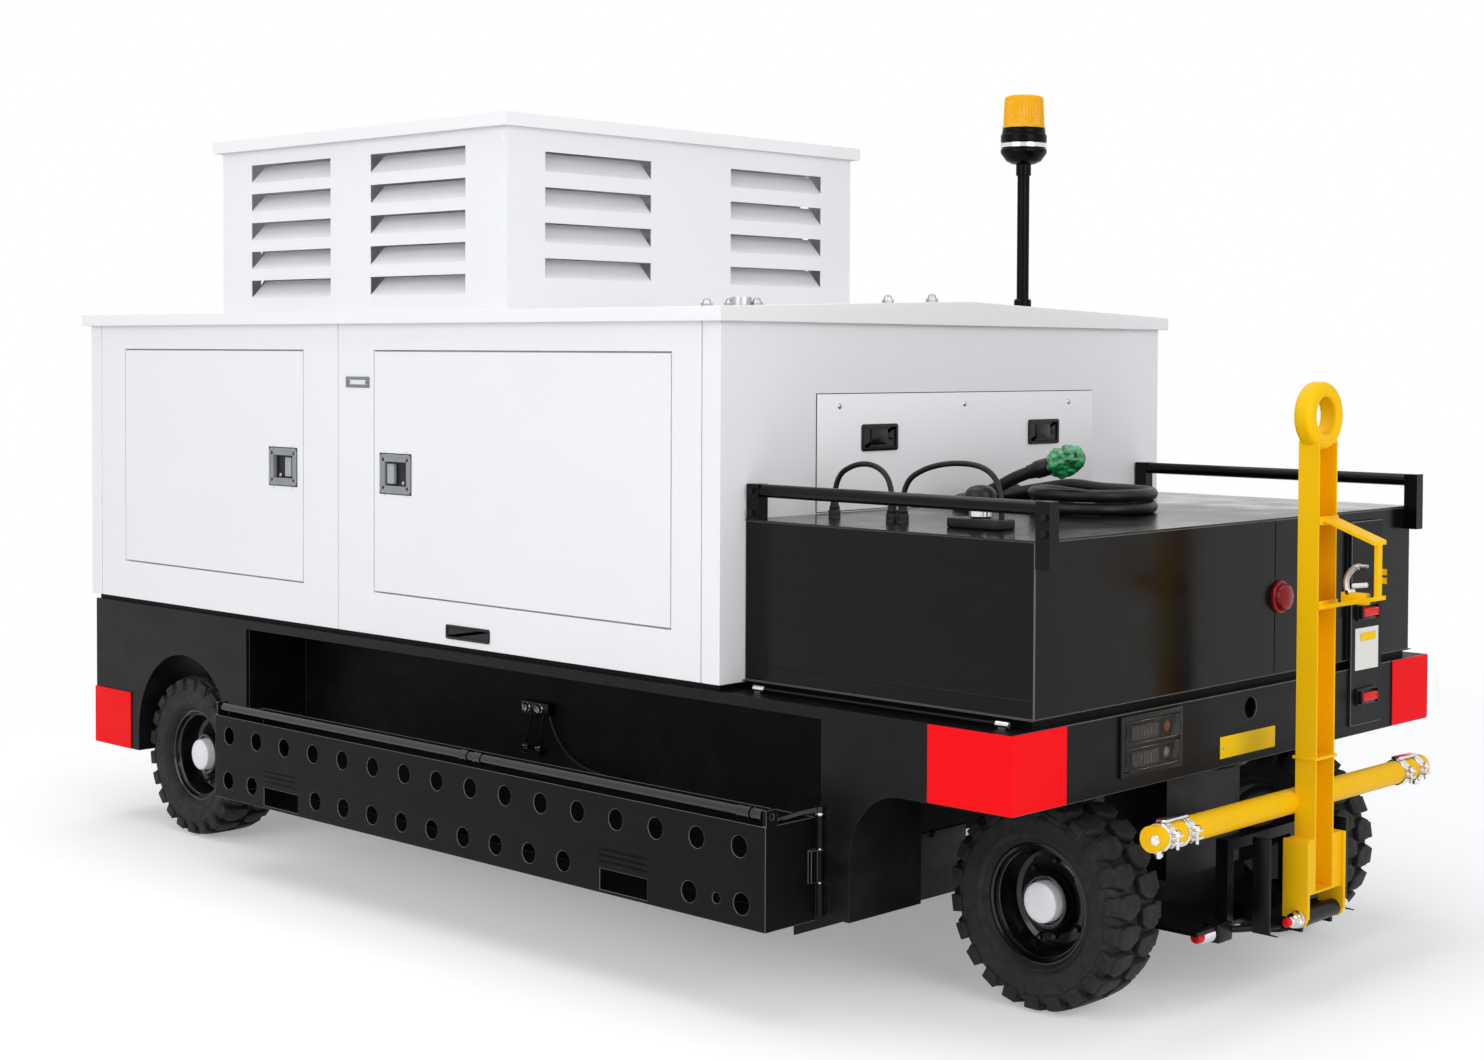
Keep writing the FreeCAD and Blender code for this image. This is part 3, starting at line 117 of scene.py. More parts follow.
def smooth(piece, angle):
    choose(piece)
    bpy.ops.object.shade_smooth_by_angle(angle=math.radians(angle))


def cuboid(name, first, second):
    # a plain box between two opposite corners
    first, second = Vector(first), Vector(second)
    deselect()
    size = [abs(part) for part in second - first]
    bpy.ops.mesh.primitive_cube_add(size=1, location=(first + second) / 2, scale=size)
    return settle(named(name))


def block(name, first, second, edge=0.002, steps=2):
    # a box with all its edges rounded
    piece = cuboid(name, first, second)
    edit(piece)
    bpy.ops.mesh.bevel(offset=edge, segments=steps, affect="EDGES")
    leave()
    return piece


def plateBlock(name, first, second, axis, corner, edge):
    # a plate that faces along the axis, its four corners rounded more than its edges
    piece = cuboid(name, first, second)
    facing = Vector(axis)
    edit(piece)
    pick(lambda part: abs((part.verts[1].co - part.verts[0].co).normalized().dot(facing)) > 0.99, "EDGE")
    bpy.ops.mesh.bevel(offset=corner, segments=5, affect="EDGES")
    leave()
    modifier(piece, "BEVEL", width=edge, segments=2, limit_method="ANGLE", angle_limit=math.radians(50))
    return piece


def startFace(piece, axis, leastArea, *steps):
    # picks the broad face that looks along the axis and insets it, each step a width and a depth
    facing = Vector(axis)
    edit(piece)
    pick(lambda part: part.normal.dot(facing) > 0.95 and part.calc_area() > leastArea)
    for width, depth in steps:
        bpy.ops.mesh.inset(thickness=width, depth=depth)


def sunk(piece, axis, leastArea, *steps):
    startFace(piece, axis, leastArea, *steps)
    leave()
    return piece


def turned(name, outline, place=(0, 0, 0), axis=(0, 0, 1), sides=48, closed=False, turn=0):
    # a turned piece: outline gives (radius, height) pairs along the axis, from the first ring on
    deselect()
    radius, height = outline[0]
    bpy.ops.mesh.primitive_circle_add(vertices=sides, radius=radius, location=(0, 0, height))
    piece = settle(named(name))
    edit(piece)
    if not closed:
        bpy.ops.mesh.edge_face_add()
    extrude = bpy.ops.mesh.extrude_edges_move if closed else bpy.ops.mesh.extrude_region_move
    for nextRadius, nextHeight in outline[1:]:
        extrude()
        bpy.ops.transform.translate(value=(0, 0, nextHeight - height))
        factor = nextRadius / radius
        bpy.ops.transform.resize(value=(factor, factor, 1), center_override=(0, 0, nextHeight))
        radius, height = nextRadius, nextHeight
    leave()
    outward(piece)
    piece.rotation_mode = "QUATERNION"
    spin = Vector((0, 0, 1)).rotation_difference(Vector(axis))
    piece.rotation_quaternion = spin @ Matrix.Rotation(turn, 4, "Z").to_quaternion()
    piece.location = place
    return settle(piece)


def rod(name, start, end, radius, edge=0.001, sides=24):
    # a round bar with softened ends
    start, end = Vector(start), Vector(end)
    length = (end - start).length
    outline = [(radius - edge, 0), (radius, edge), (radius, length - edge), (radius - edge, length)]
    return turned(name, outline, start, end - start, sides)


def curve(name, points, radius, roundness):
    # a round tube along a smooth line that starts and ends at the outer points
    line = bpy.data.curves.new(name, "CURVE")
    line.dimensions = "3D"
    line.bevel_depth = radius
    line.bevel_resolution = roundness
    line.resolution_u = 8
    line.use_fill_caps = True
    spline = line.splines.new("NURBS")
    spline.points.add(len(points) - 1)
    for spot, place in zip(spline.points, points):
        spot.co = (*place, 1)
    spline.order_u = 3
    spline.use_endpoint_u = True
    piece = bpy.data.objects.new(name, line)
    bpy.context.scene.collection.objects.link(piece)
    return piece


def pipe(name, points, radius):
    # a rigid bent pipe
    piece = curve(name, points, radius, 3)
    choose(piece)
    bpy.ops.object.convert(target="MESH")
    outward(piece)
    return piece


def hexagon(name, place, axis, across, thickness, washer=1.25):
    # a bolt head on its washer, facing along the axis
    place, axis = Vector(place), Vector(axis).normalized()
    corner = across / 2 / math.cos(math.pi / 6)
    disc = across / 2 * washer
    flange = turned(name + "_washer", [(disc, 0), (disc, 0.15 * thickness), (disc * 0.94, 0.22 * thickness)],
                    place, axis, 24)
    outline = [(corner, 0.2 * thickness), (corner, 0.85 * thickness), (corner * 0.86, thickness)]
    head = turned(name, outline, place, axis, 6, turn=0.3)
    return merged(name, [head, flange])


def merged(name, pieces):
    choose(*pieces)
    if len(pieces) > 1:
        bpy.ops.object.join()
    return named(name)


def copied(piece, name, offset=(0, 0, 0), turn=0, axis="Z", pivot=(0, 0, 0), mirror=None):
    # a copy with its own mesh that is shifted, turned round a pivot, or mirrored through the middle
    twin = piece.copy()
    twin.data = piece.data.copy()
    twin.name = name
    bpy.context.scene.collection.objects.link(twin)
    pivot = Vector(pivot)
    move = Matrix.Translation(Vector(offset) + pivot)
    move = move @ Matrix.Rotation(turn, 4, axis) @ Matrix.Translation(-pivot)
    if mirror:
        move = Matrix.Scale(-1, 4, mirror) @ move
    twin.matrix_world = move
    settle(twin)
    if mirror:
        edit(twin)
        bpy.ops.mesh.flip_normals()
        leave()
    return twin


def repeat(piece, offsets):
    # the piece joined with a copy of it at each offset
    return merged(piece.name, [piece] + [copied(piece, piece.name, offset) for offset in offsets])


def dress(piece, finish, slotName, body="chassis", angle=35):
    # gives a finished piece its material, shading and body
    smooth(piece, angle)
    piece.data.materials.clear()
    piece.data.materials.append(finish)
    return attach(piece, body)


def softened(node, edge, finish, paintedEdgeGlint):
    # a merged copy of a imported piece, its edges rounded and given a finish of their own, shown in its
    # place; on the black pieces that edge finish is a lighter grey, a painted highlight
    source = nodes[node]
    piece = source.copy()
    piece.data = source.data.copy()
    piece.parent = None
    for key in [key for key in piece.keys() if key.startswith("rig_")]:
        del piece[key]
    bpy.context.scene.collection.objects.link(piece)
    piece.name = node + "_shell"
    edit(piece)
    bpy.ops.mesh.remove_doubles(threshold=mergeGap)
    leave()
    smooth(piece, 30)
    piece.data.materials.clear()
    piece.data.materials.append(finish)
    piece.data.materials.append(paintedEdgeGlint)
    # the bevel's faces take the second slot: on black pieces the painted highlight along the edges
    modifier(piece, "BEVEL", width=edge, segments=2, limit_method="ANGLE", angle_limit=math.radians(30),
             material=1)
    modifier(piece, "WEIGHTED_NORMAL", weight=50)
    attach(piece, bodyOf[node])
    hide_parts(node)


view = {
    "place": (5.5235, -5.4378, 1.7940),
    "heading": 41.873,
    "downward": 1.557,
    "lean": 0.328,
    "lens": 53.85,
    "shiftAcross": -0.09161,
    "shiftUp": -0.07748,
}

camera = bpy.data.objects.new("camera", bpy.data.cameras.new("camera"))
bpy.context.scene.collection.objects.link(camera)
camera.data.lens = view["lens"]
camera.data.sensor_width = 36
camera.data.shift_x = view["shiftAcross"]
camera.data.shift_y = view["shiftUp"]
camera.matrix_world = (
    Matrix.Translation(view["place"])
    @ Matrix.Rotation(math.radians(view["heading"]), 4, "Z")
    @ Matrix.Rotation(math.radians(90 - view["downward"]), 4, "X")
    @ Matrix.Rotation(math.radians(view["lean"]), 4, "Z")
)
bpy.context.scene.camera = camera
print("camera set")

studio = {
    "floorSize": 60,
    "floorColour": (0.86, 0.86, 0.86),
    "fadeBetween": (3.4, 6.5),
    "floorLift": 0.30,
    "skyColour": (0.93, 0.95, 1.0),
    "skyStrength": 0.5,
    "aim": (0, 0, 1.0),
    "sideLamp": {"place": (0.5, -9.5, 4.6), "size": 7.0, "power": 300},
    "frontLamp": {"place": (10.5, -2.5, 4.5), "size": 6.0, "power": 350},
    "topLamp": {"place": (-1.6, -0.3, 10.0), "size": 9.0, "power": 340},
}


def softLamp(name, place, size, power):
    lamp = bpy.data.objects.new(name, bpy.data.lights.new(name, "AREA"))
    bpy.context.scene.collection.objects.link(lamp)
    lamp.data.shape = "SQUARE"
    lamp.data.size = size
    lamp.data.energy = power
    lamp.location = place
    aim = Vector(studio["aim"]) - Vector(place)
    lamp.rotation_euler = aim.to_track_quat("-Z", "Y").to_euler()


def maths(tree, operation, first, second):
    node = tree.nodes.new("ShaderNodeMath")
    node.operation = operation
    tree.links.new(first, node.inputs[0])
    tree.links.new(second, node.inputs[1])
    return node.outputs[0]


def mixShaders(tree, share, first, second, target):
    both = tree.nodes.new("ShaderNodeMixShader")
    for source, socket in zip((share, first, second), both.inputs):
        tree.links.new(source, socket)
    tree.links.new(both.outputs[0], target)


def eyeRays(tree, *kinds):
    # one for rays of the given kinds, and nought for the rays that carry light
    path = tree.nodes.new("ShaderNodeLightPath")
    rays = path.outputs[kinds[0]]
    for kind in kinds[1:]:
        rays = maths(tree, "MAXIMUM", rays, path.outputs[kind])
    return rays


# the camera, reflections and glass see white, and the object keeps its light and shadow
world = bpy.data.worlds.new("studio")
bpy.context.scene.world = world
world.use_nodes = True
skyTree = world.node_tree
sky = skyTree.nodes["Background"]
sky.inputs["Color"].default_value = (*studio["skyColour"], 1)
sky.inputs["Strength"].default_value = studio["skyStrength"]
backdrop = skyTree.nodes.new("ShaderNodeBackground")
backdrop.inputs["Color"].default_value = (1, 1, 1, 1)
mixShaders(skyTree, eyeRays(skyTree, "Is Camera Ray", "Is Glossy Ray", "Is Transmission Ray"),
           sky.outputs[0], backdrop.outputs[0], skyTree.nodes["World Output"].inputs["Surface"])
for lampName in ("sideLamp", "frontLamp", "topLamp"):
    softLamp(lampName, **studio[lampName])
bpy.context.scene.view_settings.view_transform = "Standard"

deselect()
bpy.ops.mesh.primitive_plane_add(size=studio["floorSize"])
floor = named("floor")
edit(floor)
bpy.ops.mesh.subdivide(number_cuts=6)
leave()
print("studio set")


def blank(name):
    finish = bpy.data.materials.new(name)
    finish.use_nodes = True
    return finish, finish.node_tree, finish.node_tree.nodes["Principled BSDF"]


def noise(tree, scale, detail, stretch=(1, 1, 1), roughness=0.5):
    # noise in the piece's own metres, scale being waves to the metre
    place = tree.nodes.new("ShaderNodeTexCoord")
    sized = tree.nodes.new("ShaderNodeMapping")
    sized.inputs["Scale"].default_value = stretch
    grain = tree.nodes.new("ShaderNodeTexNoise")
    grain.inputs["Scale"].default_value = scale
    grain.inputs["Detail"].default_value = detail
    grain.inputs["Roughness"].default_value = roughness
    tree.links.new(place.outputs["Object"], sized.inputs["Vector"])
    tree.links.new(sized.outputs["Vector"], grain.inputs["Vector"])
    return grain.outputs["Fac"]


def ramp(tree, value, low, high, start, end):
    # turns a value between low and high into one from start to end
    spread = tree.nodes.new("ShaderNodeMapRange")
    spread.inputs["From Min"].default_value = low
    spread.inputs["From Max"].default_value = high
    spread.inputs["To Min"].default_value = start
    spread.inputs["To Max"].default_value = end
    tree.links.new(value, spread.inputs["Value"])
    return spread.outputs["Result"]


def tint(tree, value, first, second):
    # a colour that goes from first to second as the value rises; first may be another node's colour
    blend = tree.nodes.new("ShaderNodeMix")
    blend.data_type = "RGBA"
    blend.inputs["B"].default_value = (*second, 1)
    if isinstance(first, tuple):
        blend.inputs["A"].default_value = (*first, 1)
    else:
        tree.links.new(first, blend.inputs["A"])
    tree.links.new(value, blend.inputs["Factor"])
    return blend.outputs["Result"]


def relief(tree, shader, value, depth, strength, below=None):
    bump = tree.nodes.new("ShaderNodeBump")
    bump.inputs["Distance"].default_value = depth
    bump.inputs["Strength"].default_value = strength
    tree.links.new(value, bump.inputs["Height"])
    if below:
        tree.links.new(below, bump.inputs["Normal"])
    tree.links.new(bump.outputs["Normal"], shader.inputs["Normal"])
    return bump.outputs["Normal"]


def shade(colour, factor):
    return tuple(min(1, part * factor) for part in colour)


def linear(*parts):
    # a screen colour, 0 to 255, as the linear colour that Blender's sockets take
    parts = [part / 255 for part in parts]
    return tuple(part / 12.92 if part <= 0.04045 else ((part + 0.055) / 1.055) ** 2.4 for part in parts)


def setShader(tree, shader, colour, rough, **values):
    tree.links.new(colour, shader.inputs["Base Color"])
    tree.links.new(rough, shader.inputs["Roughness"])
    for key, value in values.items():
        shader.inputs[key.replace("_", " ")].default_value = value


def paint(name, colour, rough, coat, mottle, peel=0.00008, grime=0.0, gloss=0.3):
    # sprayed enamel: soft cloudiness, orange peel and a trace of road film low down
    finish, tree, shader = blank(name)
    cloud = ramp(tree, noise(tree, 1.7, 4), 0.3, 0.7, 0, 1)
    tone = tint(tree, cloud, shade(colour, 1 - mottle), shade(colour, 1 + mottle))
    if grime:
        place = tree.nodes.new("ShaderNodeTexCoord")
        split = tree.nodes.new("ShaderNodeSeparateXYZ")
        tree.links.new(place.outputs["Object"], split.inputs[0])
        low = ramp(tree, split.outputs["Z"], 0.2, 1.1, grime, 0)
        spots = ramp(tree, noise(tree, 9, 6, roughness=0.65), 0.42, 0.72, 0, 1)
        tone = tint(tree, maths(tree, "MULTIPLY", low, spots), tone, (0.17, 0.155, 0.135))
    wipe = ramp(tree, noise(tree, 6, 5, stretch=(1, 1, 2.5)), 0.3, 0.7, rough - 0.05, rough + 0.06)
    setShader(tree, shader, tone, wipe, Specular_IOR_Level=gloss, Coat_Weight=coat, Coat_Roughness=0.12)
    waves = relief(tree, shader, noise(tree, 2.2, 2), 0.0012, 0.35)
    relief(tree, shader, noise(tree, 260, 2), peel, 0.5, waves)
    return finish


def metal(name, colour, rough, mottle=0.12):
    # bare or plated metal with handling marks
    finish, tree, shader = blank(name)
    patch = ramp(tree, noise(tree, 24, 5), 0.3, 0.7, 0, 1)
    marks = ramp(tree, noise(tree, 90, 6), 0.3, 0.75, rough * 0.7, rough * 1.5)
    setShader(tree, shader, tint(tree, patch, shade(colour, 1 - mottle), colour), marks, Metallic=1.0)
    relief(tree, shader, noise(tree, 420, 4), 0.00005, 0.4)
    return finish


def moulded(name, colour, rough, grain=700, depth=0.00008, mottle=0.08, coat=0.0, gloss=0.3):
    # moulded rubber or plastic with a fine grain
    finish, tree, shader = blank(name)
    patch = ramp(tree, noise(tree, 14, 5), 0.3, 0.7, 0, 1)
    tone = tint(tree, patch, shade(colour, 1 - mottle), shade(colour, 1 + mottle))
    sheen = ramp(tree, noise(tree, 30, 4), 0.3, 0.7, rough - 0.06, rough + 0.07)
    setShader(tree, shader, tone, sheen, Specular_IOR_Level=gloss, Coat_Weight=coat)
    relief(tree, shader, noise(tree, grain, 3), depth, 0.6)
    return finish


def tyreRubber(name, colour, dust):
    # black rubber with pale dust in the rough parts of the tread
    finish, tree, shader = blank(name)
    dusty = ramp(tree, noise(tree, 11, 7, roughness=0.7), 0.45, 0.75, 0, 0.55)
    sheen = ramp(tree, noise(tree, 40, 5), 0.3, 0.7, 0.55, 0.8)
    setShader(tree, shader, tint(tree, dusty, colour, dust), sheen, Specular_IOR_Level=0.3)
    relief(tree, shader, noise(tree, 320, 5), 0.0003, 0.6)
    return finish


def lens(name, colour, through, rough, index=1.49, gloss=0.25, wave=0.0002):
    # coloured plastic that light passes through
    finish, tree, shader = blank(name)
    cloud = ramp(tree, noise(tree, 20, 3), 0.3, 0.7, 0, 1)
    sheen = ramp(tree, noise(tree, 60, 3), 0.3, 0.7, rough * 0.6, rough * 1.4)
    setShader(tree, shader, tint(tree, cloud, shade(colour, 0.92), colour), sheen,
              Transmission_Weight=through, Specular_IOR_Level=gloss, IOR=index)
    relief(tree, shader, noise(tree, 26, 2), wave, 0.2)
    return finish


def crinkled(name, colour):
    # thin shiny film wound round the plug, full of folds; its colour is painted darker and lighter in
    # patches, painted shade and highlight of the folds
    finish, tree, shader = blank(name)
    folds = ramp(tree, noise(tree, 55, 4, roughness=0.6), 0.35, 0.7, 0, 1)
    # painted shade and highlight: the green runs from a third of its colour to well above it across the
    # folds
    tree.links.new(tint(tree, folds, shade(colour, 0.35), shade(colour, 1.7)), shader.inputs["Base Color"])
    shader.inputs["Roughness"].default_value = 0.25
    shader.inputs["Coat Weight"].default_value = 0.5
    relief(tree, shader, noise(tree, 70, 5), 0.006, 0.9)
    return finish


white = paint("white_enamel", linear(244, 244, 245), 0.36, 0.08, 0.008)
roofWhite = paint("roof_enamel", linear(247, 247, 247), 0.7, 0.0, 0.008, gloss=0.04)
# the access cover's white is a lighter copy of the white enamel: painted light against the shade on the
# cover
coverWhitePaintedLight = paint("cover_enamel_painted_light", linear(251, 251, 252), 0.36, 0.0, 0.008)
boxBlack = paint("cable_box_enamel", linear(12, 12, 13), 0.2, 0.0, 0.08, 0.00005, gloss=0.15)
chassisBlack = paint("chassis_enamel", linear(16, 16, 17), 0.4, 0.0, 0.1, 0.0001, grime=0.06, gloss=0.13)
boxTopBlack = paint("box_top_enamel", linear(13, 13, 14), 0.17, 0.0, 0.06, 0.00003, gloss=0.42)
railBlack = paint("rail_enamel", linear(6, 6, 7), 0.2, 0.0, 0.1, 0.00004, gloss=0.16)
rollerBlack = paint("roller_enamel", linear(14, 14, 15), 0.18, 0.0, 0.1, 0.00003, gloss=0.5)
trayBlack = paint("tray_enamel", linear(11, 11, 12), 0.42, 0.0, 0.1, 0.0001, gloss=0.09)
# lighter greys for the rounded edges of the black pieces: a painted highlight along their edges
paintedHighlightBlack = paint("black_edge_painted_highlight", linear(88, 88, 90), 0.28, 0.0, 0.1, 0.00004, gloss=0.5)
paintedHighlightFrame = paint("frame_edge_painted_highlight", linear(40, 40, 42), 0.35, 0.0, 0.1, 0.00004)
frameBlack = paint("underframe_enamel", linear(7, 7, 8), 0.5, 0.0, 0.15, 0.00015, grime=0.05, gloss=0.08)
rimBlack = paint("rim_enamel", linear(8, 8, 9), 0.2, 0.25, 0.06, 0.00006, grime=0.05, gloss=0.35)
castBlack = paint("cast_parts", linear(7, 7, 8), 0.32, 0.0, 0.15, 0.0002, grime=0.05, gloss=0.2)
latchBlack = paint("latch_black", linear(8, 8, 9), 0.2, 0.0, 0.05, 0.00003)
beaconBlack = paint("beacon_black", linear(4, 4, 5), 0.3, 0.0, 0.05, 0.00003, gloss=0.08)
yellow = paint("tow_bar_enamel", linear(253, 196, 3), 0.42, 0.0, 0.05, 0.0001, grime=0.12, gloss=0.12)
red = paint("corner_guard_enamel", linear(252, 12, 22), 0.45, 0.0, 0.02, gloss=0.08)
plateWhite = paint("plate_enamel", linear(232, 232, 228), 0.4, 0.1, 0.03)
signYellow = paint("sign_enamel", linear(255, 210, 10), 0.45, 0.0, 0.02, gloss=0.12)
chrome = metal("bright_chrome", (0.78, 0.78, 0.8), 0.11)
zinc = metal("zinc_plate", (0.55, 0.55, 0.55), 0.34, 0.3)
lampSilver = metal("lamp_silver", (0.34, 0.31, 0.28), 0.25)
greyPlastic = moulded("latch_grey", linear(128, 130, 132), 0.42)
latchGrey = moulded("latch_frame_grey", linear(146, 148, 150), 0.4)
paddleGrey = moulded("paddle_grey", linear(176, 178, 180), 0.3)
blackPlastic = moulded("black_moulding", linear(14, 14, 15), 0.4)
redPlastic = moulded("red_knob", linear(226, 10, 20), 0.3, coat=0.1, gloss=0.2)
cableRubber = moulded("cable_sheath", linear(13, 13, 14), 0.42, 240, 0.0003)
capPlastic = moulded("hub_cap_grey", linear(240, 241, 243), 0.34, mottle=0.03, coat=0.2)
amberCore = moulded("beacon_core", linear(232, 128, 8), 0.35)
lampBrown = moulded("lamp_reflector", linear(96, 82, 72), 0.3)
lampAmber = moulded("lamp_amber", linear(150, 84, 30), 0.3)
lampDark = moulded("lamp_shade", linear(20, 17, 15), 0.35, gloss=0.1)
rubber = tyreRubber("tyre_rubber", linear(25, 25, 26), linear(52, 51, 50))
amber = lens("amber_dome", linear(255, 184, 2), 0.08, 0.25)
clear = lens("clear_lens", linear(225, 226, 226), 0.94, 0.03, gloss=0.08)
lampGlass = lens("lamp_glass", linear(196, 196, 198), 0.98, 0.02, 1.12, 0.3, 0.00001)
redLens = lens("red_lens", linear(150, 8, 14), 0.1, 0.16)
greenWrap = crinkled("green_wrap", linear(16, 140, 78))


def floorFinish():
    # a pale floor that turns white far out, and is lifted a little for the eye alone
    finish, tree, shader = blank("pale_floor")
    cloud = ramp(tree, noise(tree, 0.6, 3), 0.3, 0.7, 0, 1)
    tone = tint(tree, cloud, shade(studio["floorColour"], 0.99), studio["floorColour"])
    tree.links.new(tone, shader.inputs["Base Color"])
    shader.inputs["Roughness"].default_value = 0.85
    place = tree.nodes.new("ShaderNodeTexCoord")
    reach = tree.nodes.new("ShaderNodeVectorMath")
    reach.operation = "LENGTH"
    tree.links.new(place.outputs["Object"], reach.inputs[0])
    farOff = ramp(tree, reach.outputs["Value"], *studio["fadeBetween"], 0, 1)
    seen = eyeRays(tree, "Is Camera Ray", "Is Glossy Ray")
    lift = tree.nodes.new("ShaderNodeEmission")
    tree.links.new(ramp(tree, seen, 0, 1, 0, studio["floorLift"]), lift.inputs["Strength"])
    lifted = tree.nodes.new("ShaderNodeAddShader")
    tree.links.new(shader.outputs[0], lifted.inputs[0])
    tree.links.new(lift.outputs[0], lifted.inputs[1])
    plain = tree.nodes.new("ShaderNodeEmission")
    mixShaders(tree, maths(tree, "MULTIPLY", farOff, seen), lifted.outputs[0], plain.outputs[0],
               tree.nodes["Material Output"].inputs["Surface"])
    return finish


floor.data.materials.append(floorFinish())

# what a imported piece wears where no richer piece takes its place
slotFinish = {
    "white_paint": white,
    "black_paint": chassisBlack,
    "red_paint": red,
    "yellow_paint": yellow,
    "grey_plastic": greyPlastic,
    "black_plastic": blackPlastic,
    "amber_lens": amber,
    "clear_lens": clear,
    "red_plastic": redPlastic,
    "sign_yellow": signYellow,
    "plate_white": plateWhite,
    "tyre": rubber,
    "chrome": chrome,
    "cast": castBlack,
    "zinc": zinc,
    "cable_black": cableRubber,
    "wrap_green": greenWrap,
}
ownFinish = {
    "cable_box": boxBlack,
    "cable_box_top": boxTopBlack,
    "chassis_frame": frameBlack,
    "belly_box": frameBlack,
    "roof": roofWhite,
    "louvre_lid": roofWhite,
    "side_rails": railBlack,
    "roller_right": railBlack,
    "roller_left": railBlack,
}
nodeSlot = {part["node"]: part["material_slot"] for part in frame["record"]["subparts"]}
bodyOf = {node: body for body, members in behaviour["bodies"].items() for node in members}
for nodeName, node in nodes.items():
    node.data.materials.clear()
    node.data.materials.append(ownFinish.get(nodeName) or slotFinish[nodeSlot[nodeName]])
    smooth(node, 32)
print("finishes made")


def outerY(box, side):
    # where a box ends on the given side
    corner = box[1] if side > 0 else box[0]
    return corner.y


def cordLine(name, points, radius):
    piece = curve(name, points, radius, 5)
    piece.data.materials.append(cableRubber)
    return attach(piece, "chassis")


leads = {
    "radius": 0.008,
    "rearRoute": [
        (1.155, -0.750, 1.367), (1.155, -0.750, 1.440), (1.234, -0.746, 1.483),
        (1.315, -0.742, 1.480), (1.377, -0.750, 1.431), (1.377, -0.750, 1.367),
    ],
    "rearLength": 0.373,
    "frontRoute": [
        (1.417, -0.750, 1.367), (1.417, -0.750, 1.434), (1.497, -0.741, 1.482), (1.615, -0.738, 1.500),
        (1.723, -0.744, 1.487), (1.773, -0.750, 1.429), (1.773, -0.750, 1.350),
    ],
    "frontLength": 0.532,
}

for end in ("rear", "front"):
    lead = cordLine(end + "_lead_sheath", leads[end + "Route"], leads["radius"])
    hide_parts(end + "_lead")
    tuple(leads[end + "Route"][0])

output = {
    "radius": 0.019,
    "length": 3.547,
    "coilCentre": (1.525, 0.0),
    "coilRadius": 0.181,
    "lowLevel": 1.341,
    "highLevel": 1.380,
    "pointsPerTurn": 16,
    "startAngle": 180,
    "climbFrom": 450,
    "climbTo": 540,
    "endAngle": 810,
    "fromGland": [
        (1.084, 0.254, 1.341), (1.194, 0.254, 1.341), (1.289, 0.200, 1.341), (1.344, 0.105, 1.341),
    ],
    "toPlug": [
        (1.415, 0.181, 1.380), (1.299, 0.202, 1.389), (1.203, 0.204, 1.374), (1.110, 0.150, 1.354),
        (1.056, 0.055, 1.343), (1.056, -0.055, 1.341), (1.112, -0.151, 1.341), (1.206, -0.204, 1.349),
        (1.309, -0.198, 1.391), (1.387, -0.190, 1.433), (1.455, -0.184, 1.453),
    ],
}


def coilPoints():
    # the cable's turns; it climbs on to itself in the last quarter of the first one
    step = 360 / output["pointsPerTurn"]
    count = round((output["endAngle"] - output["startAngle"]) / step)
    points = []
    for number in range(count + 1):
        angle = output["startAngle"] + number * step
        climb = (angle - output["climbFrom"]) / (output["climbTo"] - output["climbFrom"])
        climb = min(1, max(0, climb))
        level = output["lowLevel"] + climb * (output["highLevel"] - output["lowLevel"])
        turn = math.radians(angle)
        points.append((output["coilCentre"][0] + output["coilRadius"] * math.cos(turn),
                       output["coilCentre"][1] + output["coilRadius"] * math.sin(turn), level))
    return points


cableRoute = output["fromGland"] + coilPoints() + output["toPlug"]
cable = cordLine("output_cable", cableRoute, output["radius"])
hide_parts("cable_in", "cable_coil", "cable_out")

plug = {
    "bootRadius": 0.027,
    "bootLength": 0.040,
    "headRadius": 0.043,
    "headLength": 0.130,
    "coreFrom": 0.03,
    "wrapFrom": 0.035,
    "crumple": 0.026,
    "foldSize": 0.042,
    "core": 0.026,
}


def crumple(wrap, folds, size, strength, middle):
    folds.noise_scale = size
    modifier(wrap, "DISPLACE", texture=folds, strength=strength, mid_level=middle, texture_coords="LOCAL")


def plugPieces():
    end = Vector(cableRoute[-1])
    along = (end - Vector(cableRoute[-2])).normalized()
    boot = turned("plug_boot", [(0.021, -0.030), (0.023, -0.010), (plug["bootRadius"], 0.0),
                                (plug["bootRadius"], plug["bootLength"]), (0.022, 0.055)],
                  end, along, 32)
    core = rod("plug_core", end + plug["coreFrom"] * along,
               end + (plug["coreFrom"] + plug["headLength"]) * along, plug["core"], 0.004, 32)
    body = dress(merged("plug_body", [boot, core]), blackPlastic, "cable_black")
    deselect()
    bpy.ops.mesh.primitive_ico_sphere_add(subdivisions=5, radius=1)
    wrap = named("plug_wrap")
    wrap.scale = (plug["headRadius"], plug["headRadius"], plug["headLength"] / 2)
    wrap.rotation_mode = "QUATERNION"
    wrap.rotation_quaternion = Vector((0, 0, 1)).rotation_difference(along)
    wrap.location = end + (plug["wrapFrom"] + plug["headLength"] / 2) * along
    settle(wrap)
    folds = bpy.data.textures.new("film_folds", "CLOUDS")
    folds.noise_depth = 3
    crumple(wrap, folds, plug["foldSize"], plug["crumple"], 0.45)
    pleats = bpy.data.textures.new("film_pleats", "VORONOI")
    crumple(wrap, pleats, plug["foldSize"] / 2, plug["crumple"] / 2, 0.5)
    dress(wrap, greenWrap, "wrap_green", angle=60)
    return body, wrap


plugBody, plugWrap = plugPieces()
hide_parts("cable_plug")
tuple(cableRoute[0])

glands = {
    "nut": 0.030,
    "baseLevel": 1.322,
    "places": (1.155, 1.377, 1.417),
    "row": -0.750,
    "boot": 0.0125,
    "capFromFront": 0.090,
    "outletAcross": 0.254,
}


